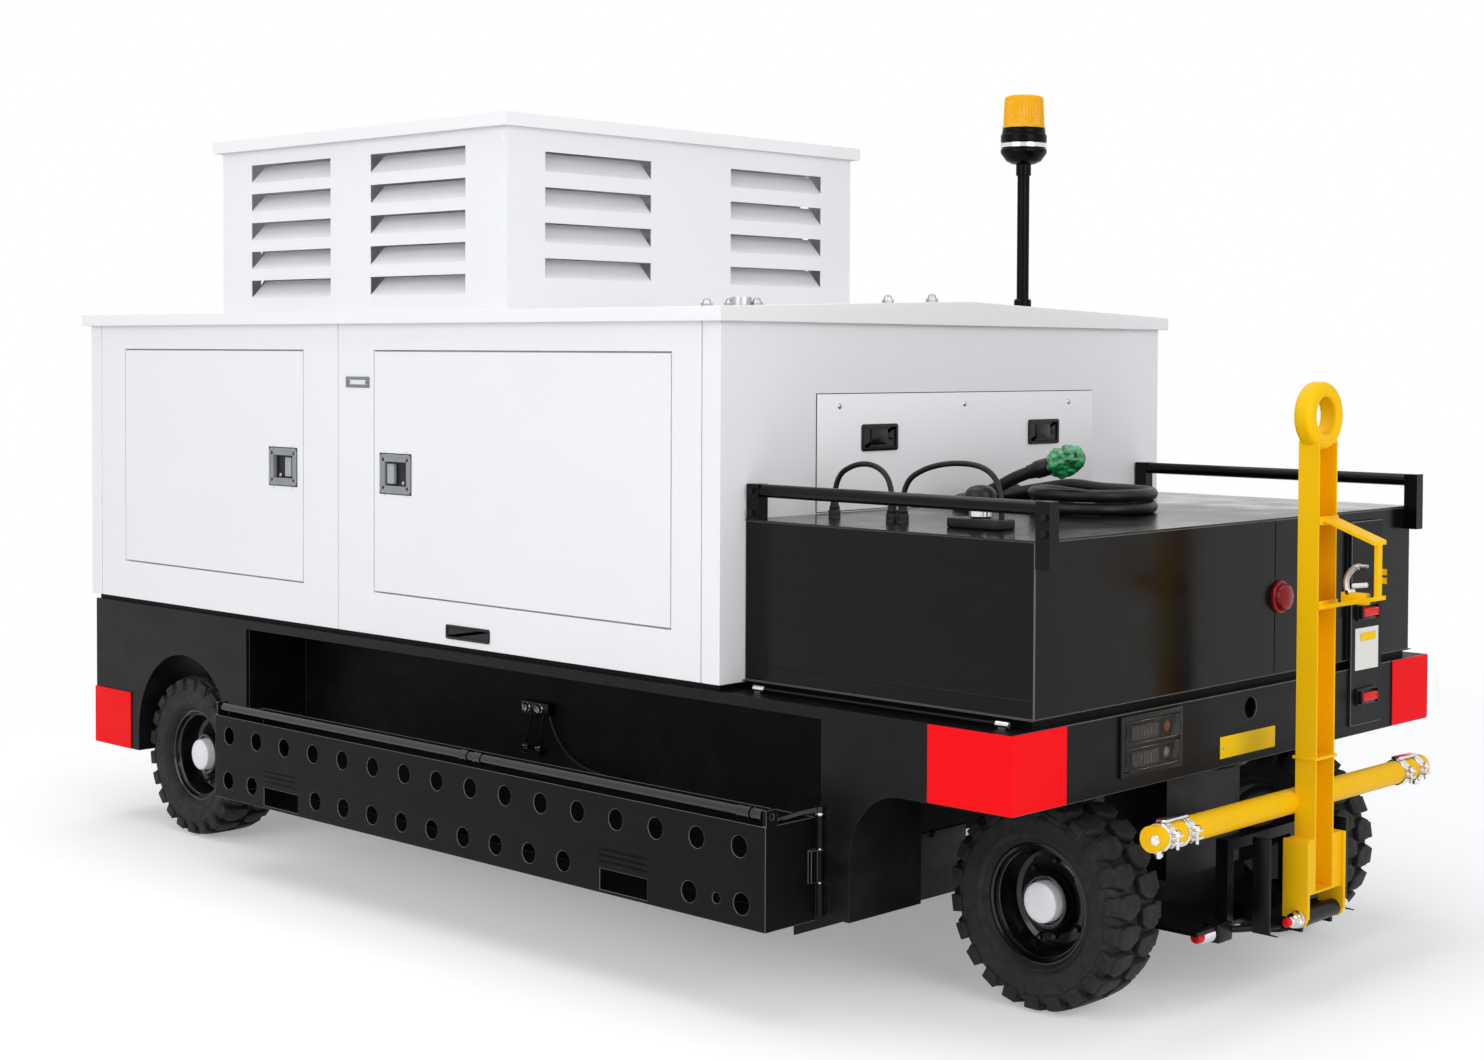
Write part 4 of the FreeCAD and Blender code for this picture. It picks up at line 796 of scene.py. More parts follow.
def leadGlands():
    # each lead leaves the box through a hexagon nut with a tapered boot
    first = Vector((glands["places"][0], glands["row"], glands["baseLevel"]))
    nut = hexagon("gland_nut", first, (0, 0, 1), glands["nut"], 0.026, 1.2)
    boot = turned("gland_boot", [(0.0135, 0.022), (0.0150, 0.026), (0.0150, 0.034), (glands["boot"], 0.037),
                                 (0.0115, 0.052), (0.0095, 0.060)], first, sides=28)
    gland = merged("lead_glands", [nut, boot])
    repeat(gland, [(place - first.x, 0, 0) for place in glands["places"][1:]])
    dress(gland, blackPlastic, "black_plastic")


def fillerPieces():
    low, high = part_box("deck_glands")
    foot = (high.x - glands["capFromFront"], glands["row"], glands["baseLevel"])
    cap = turned("filler_cap", [
        (0.026, 0.028), (0.026, 0.060), (0.040, 0.064), (0.043, 0.070), (0.043, 0.094),
        (0.040, 0.104), (0.030, 0.113), (0.014, 0.118), (0.004, 0.119)], foot, sides=40)
    base = block("filler_base", (foot[0] - 0.090, foot[1] - 0.040, foot[2]),
                 (foot[0] + 0.090, foot[1] + 0.040, foot[2] + 0.028), 0.005, 3)
    strap = turned("filler_clip", [(0.029, 0.030), (0.032, 0.034), (0.032, 0.050), (0.029, 0.054)],
                   foot, sides=32)
    neck = dress(merged("filler_neck", [cap, base]), blackPlastic, "black_plastic")
    dress(strap, chrome, "black_plastic")
    outlet = turned("cable_outlet", [(0.034, 0.0), (0.034, 0.012), (0.027, 0.016), (0.027, 0.052),
                                     (0.023, 0.062), (0.0205, 0.085)],
                    (low.x, glands["outletAcross"], output["lowLevel"]), (1, 0, 0), 36)
    dress(outlet, blackPlastic, "black_plastic")
    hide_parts("deck_glands")


leadGlands()
fillerPieces()
print("cables laid")

wheel = {
    "tyreWidth": 0.210,
    "tread": 0.295,
    "root": 0.274,
    "bead": 0.165,
    "lugs": 22,
    "lugWidth": 0.066,
    "lugSink": 0.012,
    "lugMiddle": 0.004,
    "rimHalf": 0.075,
    "hubCap": 0.057,
    "hubSeat": 0.020,
    "boltCircle": 0.106,
    "boltDepth": 0.082,
    "bolts": 8,
}


def tyrePiece():
    half = wheel["tyreWidth"] / 2
    root = wheel["root"]
    bead = wheel["bead"]
    outline = [
        (bead, half - 0.032), (bead + 0.006, half - 0.022), (bead + 0.012, half - 0.014),
        (bead + 0.016, half - 0.0145), (bead + 0.022, half - 0.0085), (bead + 0.030, half - 0.0045),
        (bead + 0.034, half - 0.0055), (bead + 0.060, half - 0.001), (bead + 0.078, half - 0.001),
        (bead + 0.082, half - 0.004), (root - 0.014, half - 0.008), (root - 0.003, half - 0.022),
        (root, half - 0.042), (root + 0.001, 0.0),
    ]
    mirrored = [(radius, -height) for radius, height in reversed(outline[:-1])]
    inner = [(bead - 0.008, -half + 0.045), (bead - 0.008, half - 0.045)]
    return turned("tyre_carcass", outline + mirrored + inner + outline[:1], axis=(0, -1, 0),
                  sides=132, closed=True)


def lugPiece():
    # one lug: a chunky six-sided block that wraps down the shoulder
    half = wheel["tyreWidth"] / 2
    tall = wheel["tread"]
    foot = wheel["root"] - wheel["lugSink"]
    middle = wheel["lugMiddle"]
    deselect()
    bpy.ops.mesh.primitive_cube_add(size=1, location=(0, 0, 0))
    lug = named("lug")
    lug.scale = (wheel["lugWidth"], half - middle, tall - foot)
    lug.location = (0, -half / 2 - middle, (tall + foot) / 2)
    settle(lug)
    edit(lug)
    bpy.ops.mesh.subdivide(number_cuts=3)
    leave()
    for spot in lug.data.vertices:
        place = spot.co
        share = (-place.y - middle) / half
        top = (place.z - foot) / (tall - foot)
        place.x *= 0.62 + 0.5 * math.sin(math.pi * min(1, share * 1.15)) - 0.10 * top
        place.x += 0.010 * math.sin(math.pi * share)
        place.z -= 0.004 * share ** 2 + 0.034 * max(0, share - 0.72) ** 1.4 * 6 * (0.35 + 0.65 * top)
        place.z -= place.x ** 2 / (2 * tall)
    modifier(lug, "BEVEL", width=0.0022, segments=2, limit_method="ANGLE", angle_limit=math.radians(40))
    return lug


def shoulderPiece():
    # the lug's short leg on the sidewall
    half = wheel["tyreWidth"] / 2
    leg = block("shoulder_leg", (-0.024, -half + 0.001, wheel["root"] - 0.030),
                (0.024, -half + 0.030, wheel["tread"] - 0.010), 0.003, 2)
    edit(leg)
    pick(lambda face: face.normal.z < -0.8)
    bpy.ops.transform.resize(value=(0.7, 1, 1), center_override=(0, 0, 0))
    leave()
    return leg


def treadPieces():
    step = 2 * math.pi / wheel["lugs"]
    lug = merged("lug", [lugPiece(), shoulderPiece()])
    near = [copied(lug, "lug_near", turn=number * step, axis="Y") for number in range(wheel["lugs"])]
    row = merged("lug_row", near)
    far = copied(row, "lug_row_far", turn=step / 2, axis="Y", mirror=(0, 1, 0))
    deselect()
    bpy.data.objects.remove(lug)
    return merged("lug_rows", [row, far])


def rimPiece():
    edge = wheel["rimHalf"]
    bead = wheel["bead"]
    outline = [
        (bead - 0.008, edge - 0.014), (bead + 0.002, edge - 0.010), (bead + 0.005, edge - 0.003),
        (bead + 0.002, edge + 0.003), (bead - 0.004, edge + 0.004), (bead - 0.009, edge - 0.001),
        (bead - 0.010, edge - 0.008), (bead - 0.013, edge - 0.014), (bead - 0.017, edge - 0.013),
        (bead - 0.020, edge - 0.016), (bead - 0.022, edge - 0.024), (bead - 0.024, edge - 0.050),
        (bead - 0.030, edge - 0.078), (bead - 0.042, edge - 0.086), (0.100, edge - 0.084),
        (0.088, edge - 0.078), (0.080, edge - 0.068), (0.077, edge - 0.036), (0.074, edge - 0.030),
        (0.069, edge - 0.029), (0.066, edge - 0.033), (0.064, edge - 0.044),
        (0.030, edge - 0.050), (0.030, edge - 0.108), (0.100, edge - 0.108), (bead - 0.030, edge - 0.110),
        (bead - 0.026, edge - 0.124), (bead - 0.012, -edge + 0.010), (bead + 0.004, -edge - 0.002),
        (bead + 0.002, -edge + 0.008), (bead - 0.008, -edge + 0.016), (bead - 0.014, edge - 0.096),
        (bead - 0.008, edge - 0.014),
    ]
    return turned("rim_dish", outline, axis=(0, -1, 0), sides=96, closed=True)


def rimBolts():
    # wheel nuts round the hub and one valve stem
    depth = wheel["boltDepth"] - wheel["rimHalf"]
    first = hexagon("wheel_nut", (0, depth, wheel["boltCircle"]), (0, -1, 0), 0.015, 0.010, 1.15)
    step = 2 * math.pi / wheel["bolts"]
    nuts = [copied(first, "wheel_nut_copy", turn=number * step, axis="Y")
            for number in range(1, wheel["bolts"])]
    stem = rod("valve_stem", (-0.052, depth + 0.004, -0.106), (-0.052, depth - 0.018, -0.112),
               0.0042, 0.0008, 16)
    return merged("wheel_nuts", [first] + nuts + [stem])


def hubCapPiece():
    radius = wheel["hubCap"]
    seat = wheel["hubSeat"]
    outline = [
        (radius - 0.004, seat), (radius, seat + 0.002), (radius, seat + 0.040),
        (radius - 0.002, seat + 0.046), (radius - 0.006, seat + 0.049), (radius - 0.014, seat + 0.0505),
        (0.020, seat + 0.052), (0.001, seat + 0.0525),
    ]
    return turned("hub_cap", outline, axis=(0, -1, 0), sides=64)


def hubRing():
    # thin bright ring round the hub cap
    outline = [(0.0660, 0.043), (0.0675, 0.0445), (0.0690, 0.043), (0.0675, 0.0415), (0.0660, 0.043)]
    return turned("hub_ring", outline, axis=(0, -1, 0), sides=64, closed=True)


def wheelPieces():
    carcass = merged("tyre_skin", [tyrePiece(), treadPieces()])
    rim = merged("rim_shell", [rimPiece(), rimBolts()])
    originals = [(carcass, rubber, "tyre"), (rim, rimBlack, "black_paint"),
                 (hubCapPiece(), capPlastic, "grey_plastic"), (hubRing(), chrome, "chrome")]
    for end in ("front", "rear"):
        for hand, side in hands:
            key = end + "_" + hand
            low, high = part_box("tyre_" + key)
            for piece, finish, slotName in originals:
                twin = copied(piece, piece.name + "_" + key, (low + high) / 2, math.pi * (side > 0))
                dress(twin, finish, slotName, "wheel_" + key, 30)
            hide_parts("tyre_" + key)
            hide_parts("rim_" + key)
    for original in originals:
        bpy.data.objects.remove(original[0])


wheelPieces()
print("wheels made")

# how far the sheet metal's folded and broken edges are rounded
sheetEdges = {
    "canopy": 0.0022,
    "louvres": 0.0010,
    "doors": 0.0026,
    "cableBox": 0.0030,
    "chassis": 0.0022,
    "guards": 0.0030,
    "trays": 0.0018,
    "rails": 0.0080,
    "towBar": 0.0030,
    "castings": 0.0030,
}


def shells():
    # each plan: imported pieces, edge rounding, finish, and the finish of the rounded edges, which on the
    # black pieces is a painted highlight
    plans = [
        (("side_walls", "end_walls"), "canopy", white, white),
        (("roof", "louvre_lid"), "canopy", roofWhite, roofWhite),
        (("louvre_box",), "louvres", white, white),
        (("door_front_right", "door_front_left"), "doors", white, white),
        (("door_rear_right", "door_rear_left"), "doors", white, white),
        (("cable_box",), "cableBox", boxBlack, paintedHighlightBlack),
        (("side_plates", "end_plates", "control_strip"), "chassis", chassisBlack, paintedHighlightBlack),
        (("side_rails",), "rails", railBlack, railBlack),
        (("chassis_frame", "belly_box"), "chassis", frameBlack, paintedHighlightFrame),
        (("corner_guards",), "guards", red, red),
        (("tray_right", "tray_left"), "trays", trayBlack, paintedHighlightBlack),
        (("tow_bar", "cross_arm", "tow_grip"), "towBar", yellow, yellow),
        (("front_axle", "rear_axle"), "castings", castBlack, paintedHighlightFrame),
    ]
    for group, edge, finish, paintedEdgeGlint in plans:
        for node in group:
            softened(node, sheetEdges[edge], finish, paintedEdgeGlint)


shells()
print("sheet metal softened")

latch = {
    "border": 0.021,
    "pocket": 0.018,
    "corner": 0.013,
    "gasketLap": 0.003,
    "gasketRise": 0.0012,
    "rimWidth": 0.006,
    "rimStep": 0.001,
    "wellInset": 0.026,
    "paddleWidth": 0.034,
    "paddleInset": 0.012,
    "paddleGap": 0.006,
    "paddleSink": 0.003,
    "keyRadius": 0.007,
    "keyDrop": 0.03,
}


def doorLatch(end, hand, side):
    # a framed pocket in the door with its paddle, a key barrel and a gasket round it
    key = end + "_" + hand
    doorBody = "door_" + key + "_body"
    facing = (0, side, 0)
    low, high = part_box("handle_" + key)
    face = outerY((low, high), side)
    skin = outerY(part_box("door_" + key), side)
    lap = latch["gasketLap"]
    gasket = block("latch_gasket_" + key, (low.x - lap, skin, low.z - lap),
                   (high.x + lap, skin + side * latch["gasketRise"], high.z + lap), 0.0005, 1)
    edit(gasket)
    pick(lambda part: abs(part.normal.y) > 0.95)
    bpy.ops.mesh.inset(thickness=latch["border"] * 0.6)
    bpy.ops.mesh.bridge_edge_loops()
    leave()
    dress(gasket, blackPlastic, "grey_plastic", doorBody)

    back = face - side * (latch["pocket"] + 0.004)
    plate = plateBlock("latch_plate", (low.x, face, low.z), (high.x, back, high.z), (0, 1, 0),
                       latch["corner"], 0.0025)
    inner = latch["border"] - latch["rimWidth"] - latch["rimStep"]
    startFace(plate, facing, 0.005, (latch["rimWidth"], 0), (latch["rimStep"], -0.0012), (inner, 0),
              (0.002, -0.002))
    bpy.ops.mesh.extrude_region_move()
    bpy.ops.transform.translate(value=(0, -side * latch["pocket"], 0))
    leave()
    dress(plate, latchGrey, "grey_plastic", doorBody, 30)
    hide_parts("handle_" + key)

    inset = latch["wellInset"]
    floorY = face - side * (latch["pocket"] + 0.0005)
    # a black plate on the pocket floor: painted shade in the gap round the paddle
    pocketShade = block("latch_well_" + key, (low.x + inset, floorY, low.z + inset),
                 (high.x - inset, floorY + side * 0.002, high.z - inset), 0.0005, 1)
    paddleX = low.x + inset + latch["paddleInset"]
    if end == "rear":
        paddleX = high.x - inset - latch["paddleInset"] - latch["paddleWidth"]
    gap = latch["paddleGap"]
    paddle = block("latch_paddle_" + key, (paddleX, face - side * latch["paddleSink"], low.z + inset + gap),
                   (paddleX + latch["paddleWidth"], floorY, high.z - inset - gap), 0.003, 3)
    startFace(paddle, facing, 0.001, (0.005, 0))
    bpy.ops.transform.translate(value=(0, -side * 0.006, 0))
    leave()
    radius = latch["keyRadius"]
    lock = turned("latch_lock_" + key,
                  [(radius, 0), (radius, 0.006), (radius - 0.0015, 0.0075), (0.002, 0.0076)],
                  (low.x + high.x - paddleX - latch["paddleWidth"] / 2, floorY,
                   (low.z + high.z) / 2 - latch["keyDrop"]), facing, 24)
    dress(pocketShade, blackPlastic, "grey_plastic", doorBody)
    dress(paddle, paddleGrey, "grey_plastic", doorBody)
    dress(lock, zinc, "grey_plastic", doorBody)


for hand, side in hands:
    for end in ("front", "rear"):
        doorLatch(end, hand, side)

canopyFit = {
    "screwRadius": 0.009,
    "screwLevel": 1.640,
    "screwsAcross": (-0.584, 0.0, 0.548),
    "seamShadowLap": 0.0025,
    "coverRise": 0.0015,
    "rivet": 0.0055,
    "rivetInset": 0.022,
    "rivetLevels": (2.06, 2.20, 2.36, 2.50),
    "latchCentre": 0.407,
    "latchHalf": 0.082,
    "latchTall": 0.082,
    "slotFrom": -0.241,
    "slotTo": -0.018,
    "slotTall": 0.046,
    "plateDepth": 0.008,
    "plateBorder": 0.007,
    "ventScrewInset": 0.016,
    "roofFall": 0.042,
    "capPlaces": ((0.250, -0.397), (0.420, -0.458), (0.500, -0.415), (0.878, -0.211), (0.965, -0.100)),
}


def flushLatches(face):
    # glossy framed latches on the cover and the slot covers low on the sides
    low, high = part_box("black_fittings")
    pieces = []
    for side in (-1, 1):
        near = side * canopyFit["latchCentre"]
        half = canopyFit["latchHalf"]
        surround = plateBlock("cover_latch", (face, near - half, high.z - canopyFit["latchTall"]),
                              (high.x + 0.002, near + half, high.z), (1, 0, 0), 0.009, 0.002)
        sunk(surround, (1, 0, 0), 0.001, (0.008, 0), (0.001, -0.005))
        paddle = plateBlock("cover_paddle", (face, near - 0.040, high.z - 0.064),
                            (face + 0.0045, near + 0.034, high.z - 0.016), (1, 0, 0), 0.005, 0.0012)
        button = turned("cover_button", [(0.010, 0), (0.010, 0.002), (0.008, 0.003), (0.0005, 0.003)],
                        (face, near + 0.052, high.z - 0.040), (1, 0, 0), 20)
        slotFace = outerY((low, high), side)
        cover = plateBlock("slot_cover", (canopyFit["slotFrom"], slotFace, low.z),
                           (canopyFit["slotTo"], slotFace - side * canopyFit["plateDepth"],
                            low.z + canopyFit["slotTall"]), (0, 1, 0), 0.008, 0.0015)
        sunk(cover, (0, side, 0), 0.001, (canopyFit["plateBorder"], 0), (0.001, -0.003))
        pieces += [surround, paddle, button, cover]
    whole = dress(merged("flush_latches", pieces), latchBlack, "black_plastic")
    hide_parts("black_fittings")


def coverPieces():
    low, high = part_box("access_panel")
    start = canopyFit["screwsAcross"][0]
    radius = canopyFit["screwRadius"]
    screw = turned("panel_screw", [(radius, 0), (radius, 0.0015), (0.006, 0.0042), (0.002, 0.005)],
                   (high.x, start, canopyFit["screwLevel"]), (1, 0, 0), 24)
    repeat(screw, [(0, across - start, 0) for across in canopyFit["screwsAcross"][1:]])
    dress(screw, zinc, "chrome")
    # a dark plate just larger than the cover behind its rim: painted shadow in the seam round the cover
    lap = canopyFit["seamShadowLap"]
    seamShadow = block("cover_seam_painted_shadow", low - Vector((0, lap, lap)), high + Vector((-0.0012, lap, lap)), 0.0004, 1)
    dress(seamShadow, blackPlastic, "white_paint")
    rise = canopyFit["coverRise"]
    # the cover wears the lighter copy of the white enamel, painted light
    panel = dress(block("access_cover", low, high + Vector((rise, 0, 0)), 0.0012), coverWhitePaintedLight, "white_paint")
    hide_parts("access_panel")
    flushLatches(high.x + rise)


def outletRivets():
    # rivets down the outlet box corners
    low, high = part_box("louvre_box")
    radius = canopyFit["rivet"]
    levels = canopyFit["rivetLevels"]
    row = turned("rivet", [(radius, 0), (radius * 0.85, 0.0018), (radius * 0.45, 0.0030), (0.0005, 0.0033)],
                 (high.x - canopyFit["rivetInset"], low.y, levels[0]), (0, -1, 0), 16)
    repeat(row, [(0, 0, level - levels[0]) for level in levels[1:]])
    toRear = (low.x - high.x + 2 * canopyFit["rivetInset"], 0, 0)
    rows = [row, copied(row, "rivet_row", toRear), copied(row, "rivet_far", mirror=(0, 1, 0)),
            copied(row, "rivet_far_rear", toRear, mirror=(0, 1, 0))]
    dress(merged("outlet_rivets", rows), white, "white_paint")


def roofBolts():
    # domed bolts along the front of the roof
    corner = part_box("roof")[1]
    bolts = []
    for along, across in canopyFit["capPlaces"]:
        place = (along, across, corner.z - canopyFit["roofFall"] / corner.y * abs(across) - 0.002)
        bolts.append(hexagon("roof_nut", place, (0, 0, 1), 0.034, 0.014, 1.5))
        bolts.append(turned("roof_dome", [(0.014, 0.012), (0.014, 0.018), (0.010, 0.026), (0.003, 0.029)],
                            place, sides=24))
    dress(merged("roof_bolts", bolts), zinc, "zinc")


def sideVents():
    # slim vents with a slot and two screws on each side
    low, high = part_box("side_vents")
    middle = (low.z + high.z) / 2
    screwX = low.x + canopyFit["ventScrewInset"]
    for hand, side in hands:
        face = outerY((low, high), side)
        inner = face - side * canopyFit["plateDepth"]
        vent = block("side_vent_" + hand, (low.x, face, low.z), (high.x, inner, high.z), 0.003)
        sunk(vent, (0, side, 0), 0.001, (canopyFit["plateBorder"], 0), (0.001, -0.005))
        screws = rod("vent_screw", (screwX, inner, middle), (screwX, face, middle), 0.006, 0.001, 16)
        repeat(screws, [(high.x - low.x - 2 * canopyFit["ventScrewInset"], 0, 0)])
        whole = dress(merged(vent.name, [vent, screws]), greyPlastic, "grey_plastic")
        if hand == "right":
            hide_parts("side_vents")


coverPieces()
outletRivets()
roofBolts()
sideVents()
print("canopy dressed")

beacon = {
    "ribs": 44,
    "ribDepth": 0.0022,
    "lensFoot": 0.074,
    "lensHead": 0.066,
    "ribsOutside": 0.055,
    "poleRadius": 0.021,
    "flange": 0.042,
    "boltCircle": 0.034,
}


def beaconDome(foot, tall):
    # ribbed dome with an amber core inside
    head = beacon["lensHead"]
    outline = [(beacon["lensFoot"], 0), (beacon["lensFoot"], 0.006), (beacon["lensFoot"] - 0.003, 0.010),
               (head + 0.001, tall - 0.012), (head - 0.003, tall - 0.005), (head - 0.014, tall - 0.001),
               (0.02, tall), (0.0003, tall)]
    dome = turned("beacon_dome", outline, foot, sides=beacon["ribs"] * 4)
    for spot in dome.data.vertices:
        radial = Vector((spot.co.x - foot[0], spot.co.y - foot[1], 0))
        rise = spot.co.z - foot[2]
        if radial.length > beacon["ribsOutside"] and 0.008 < rise < tall - 0.003:
            wave = math.cos(math.atan2(radial.y, radial.x) * beacon["ribs"])
            spot.co += radial.normalized() * beacon["ribDepth"] * (wave - 1) / 2
    dress(dome, amber, "amber_lens", angle=25)
    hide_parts("beacon_lens")
    core = turned("beacon_reflector", [(0.030, 0.004), (0.030, 0.050), (0.044, 0.080), (0.010, 0.084)],
                  foot, sides=40)
    dress(core, amberCore, "amber_lens")


def beaconStand(x, y):
    bottom, base = [corner.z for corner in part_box("beacon_stand")]
    tall = base - bottom
    skirt = turned("beacon_base", [
        (0.028, -0.124), (0.040, -0.122), (0.060, -0.112), (0.070, -0.098), (0.076, -0.090),
        (0.0795, -0.084), (0.0795, -0.074), (0.076, -0.070), (0.076, -0.050), (0.0795, -0.046),
        (0.0795, -0.026), (0.077, -0.022), (0.074, -0.012), (0.0745, -0.006), (0.070, 0.0),
        (0.040, 0.0)], (x, y, base), sides=64)
    pole = turned("beacon_pole", [
        (beacon["flange"], 0), (beacon["flange"], 0.006), (0.034, 0.007), (0.030, 0.012), (0.030, 0.040),
        (0.027, 0.044), (beacon["poleRadius"], 0.047), (beacon["poleRadius"], tall - 0.165),
        (0.026, tall - 0.160), (0.026, tall - 0.122)], (x, y, bottom), sides=40)
    body = dress(merged("beacon_body", [skirt, pole]), beaconBlack, "black_plastic", angle=30)
    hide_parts("beacon_stand")
    band = turned("beacon_band", [(0.0760, -0.069), (0.0790, -0.067), (0.0790, -0.053), (0.0760, -0.051)],
                  (x, y, base), sides=64)
    dress(band, chrome, "chrome")
    bolt = hexagon("pole_bolt", (x + beacon["boltCircle"], y, bottom + 0.006), (0, 0, 1), 0.010, 0.006, 1.2)
    others = [copied(bolt, "pole_bolt_copy", turn=number * math.pi / 2, pivot=(x, y, bottom))
              for number in range(1, 4)]
    dress(merged("pole_bolts", [bolt] + others), zinc, "zinc")


lensLow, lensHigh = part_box("beacon_lens")
beaconAxis = (lensLow + lensHigh) / 2
beaconDome((beaconAxis.x, beaconAxis.y, lensLow.z), lensHigh.z - lensLow.z)
beaconStand(beaconAxis.x, beaconAxis.y)
print("beacon made")

front = {
    "bezel": 0.012,
    "bar": 0.010,
    "ridges": 6,
    "ridgePitch": 0.016,
    "signBorder": 0.004,
    "signScrewInset": 0.012,
    "switchLevels": (0.748, 1.010),
    "switchOffset": 0.009,
    "stopLamp": (0.195, 1.090),
    "plateBorder": 0.006,
}


def lampPieces():
    low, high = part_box("lamp_housing")
    bezel = block("lamp_bezel", low, high, 0.003)
    sunk(bezel, (1, 0, 0), 0.01, (front["bezel"], 0), (0.002, -0.004))
    dress(bezel, blackPlastic, "black_plastic")
    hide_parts("lamp_housing")

    # each lamp: a dark bowl, a fluted bright reflector off to one side, a bulb and a clear lens
    face = high.x
    low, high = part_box("lamp_lenses")
    middle = (low.z + high.z) / 2
    rows = ((low.z, middle - front["bar"] / 2), (middle + front["bar"] / 2, high.z))
    for key, bulbFinish, (bottom, top) in zip("01", (lampSilver, lampAmber), rows):
        bowl = block("lamp_bowl_" + key, (face - 0.006, low.y, bottom), (face - 0.0045, high.y, top),
                     0.0004, 1)
        reflector = block("lamp_reflector_" + key, (face - 0.0045, low.y + 0.030, bottom + 0.010),
                          (face - 0.0005, high.y - 0.100, top - 0.014), 0.0015)
        sunk(reflector, (1, 0, 0), 0.0005, (0.005, -0.0015))
        ridge = block("lamp_ridges_" + key, (face - 0.0028, low.y + 0.040, bottom + 0.016),
                      (face - 0.0010, low.y + 0.043, top - 0.020), 0.0008, 1)
        repeat(ridge, [(0, front["ridgePitch"] * step, 0) for step in range(1, front["ridges"])])
        bulb = turned("lamp_bulb_" + key, [(0.010, 0), (0.016, 0.002), (0.012, 0.004), (0.002, 0.005)],
                      (face - 0.0045, high.y - 0.060, (bottom + top) / 2), (1, 0, 0), 24)
        glass = block("lamp_glass_" + key, (face - 0.0005, low.y + 0.001, bottom + 0.001),
                      (high.x, high.y - 0.001, top - 0.001), 0.004, 3)
        looks = ((bowl, lampDark), (reflector, lampBrown), (ridge, lampSilver), (bulb, bulbFinish),
                 (glass, lampGlass))
        for piece, finish in looks:
            dress(piece, finish, "clear_lens")
    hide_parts("lamp_lenses")


def signPiece():
    low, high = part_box("sign_plate")
    plate = sunk(block("sign_board", low, high, 0.0008), (1, 0, 0), 0, (front["signBorder"], 0.0003))
    y = low.y + front["signScrewInset"]
    middle = (low.z + high.z) / 2
    screws = rod("sign_screw", (low.x, y, middle), (high.x + 0.002, y, middle), 0.004, 0.001, 14)
    repeat(screws, [(0, high.y - low.y - 2 * front["signScrewInset"], 0)])
    dress(plate, signYellow, "sign_yellow")
    dress(screws, zinc, "zinc")
    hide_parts("sign_plate")


def controlPieces():
    # two guarded red toggles on the strip, and a stop lamp on the box
    low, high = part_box("control_strip")
    face = high.x
    centre = (low.y + high.y) / 2 - front["switchOffset"]
    levers = []
    for number, level in enumerate(front["switchLevels"]):
        base = block("switch_base", (face, centre - 0.056, level - 0.026),
                     (face + 0.007, centre + 0.056, level + 0.026))
        cheek = block("switch_cheek", (face + 0.006, centre - 0.053, level - 0.020),
                      (face + 0.022, centre - 0.047, level + 0.020))
        other = copied(cheek, "switch_cheek_far", (0, 0.100, 0))
        dress(merged("switch_guard_" + str(number), [base, cheek, other]), blackPlastic, "black_plastic")
        lever = block("switch_lever", (face + 0.006, centre - 0.044, level - 0.013),
                      (face + 0.024, centre + 0.044, level + 0.013), 0.004, 3)
        startFace(lever, (1, 0, 0), 0.0005, (0.004, 0))
        bpy.ops.transform.translate(value=(-0.003, 0, 0))
        leave()
        levers.append(lever)
    lamp = turned("stop_lamp", [(0.048, 0), (0.048, 0.008), (0.045, 0.011), (0.041, 0.012), (0.040, 0.020),
                                (0.036, 0.028), (0.024, 0.034), (0.0005, 0.036)],
                  (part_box("cable_box_top")[1].x, *front["stopLamp"]), (1, 0, 0), 48)
    switches = dress(merged("red_switches", levers), redPlastic, "red_plastic")
    dress(lamp, redLens, "red_plastic")
    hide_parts("red_controls")


def dataPlate():
    # a blank plate in its holder, with a tab above it
    low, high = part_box("data_plate")
    plate = sunk(block("plate_blank", low, high, 0.0006, 1), (1, 0, 0), 0, (front["plateBorder"], -0.0005))
    dress(plate, plateWhite, "plate_white")
    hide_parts("data_plate")
    tab = block("plate_tab", (high.x, low.y + 0.030, high.z - 0.040),
                (high.x + 0.003, high.y - 0.020, high.z - 0.016), 0.001)
    dress(tab, signYellow, "plate_white")


lampPieces()
signPiece()
controlPieces()
dataPlate()
print("front dressed")

boxFit = {
    "seamAcross": 0.170,
    "seamWidth": 0.003,
    "beadUp": 0.046,
    "beadHeight": 0.006,
    "railBolt": 0.018,
    "frontLevels": (1.340, 1.383),
    "rearLevels": (1.340, 1.407),
    "rodRadius": 0.006,
    "rodFromSide": 0.056,
    "rodSpan": (1.130, 1.970),
    "rodFeet": (1.108, 1.990),
}


def boxTrim():
    # cover strip on the front panels' seam, and a rolled bead along each side
    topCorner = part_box("cable_box_top")[1]
    low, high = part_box("cable_box")
    seam = boxFit["seamAcross"]
    pieces = [block("box_seam", (topCorner.x - 0.0005, seam, low.z + 0.012),
                    (topCorner.x + 0.0015, seam + boxFit["seamWidth"], high.z - 0.003), 0.0004, 1)]
    bottom = low.z + boxFit["beadUp"]
    top = bottom + boxFit["beadHeight"]
    for side in (-1, 1):
        pieces.append(block("box_bead", (low.x + 0.02, side * topCorner.y, bottom),
                            (topCorner.x - 0.004, side * (topCorner.y + 0.002), top), 0.0009, 1))
    dress(merged("box_trim", pieces), boxBlack, "black_paint")


def railBolts():
    # bolts through the ends of both rails
    low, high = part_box("side_rails")
    bolts = []
    for x, levels in ((high.x - 0.016, boxFit["frontLevels"]), (low.x + 0.021, boxFit["rearLevels"])):
        for level in levels:
            bolts.append(hexagon("rail_bolt", (x, low.y, level), (0, -1, 0), boxFit["railBolt"], 0.008, 1.3))
    near = merged("rail_bolts_right", bolts)
    far = copied(near, "rail_bolts_left", mirror=(0, 1, 0))
    outward(far)
    dress(near, castBlack, "zinc")
    dress(far, castBlack, "zinc")


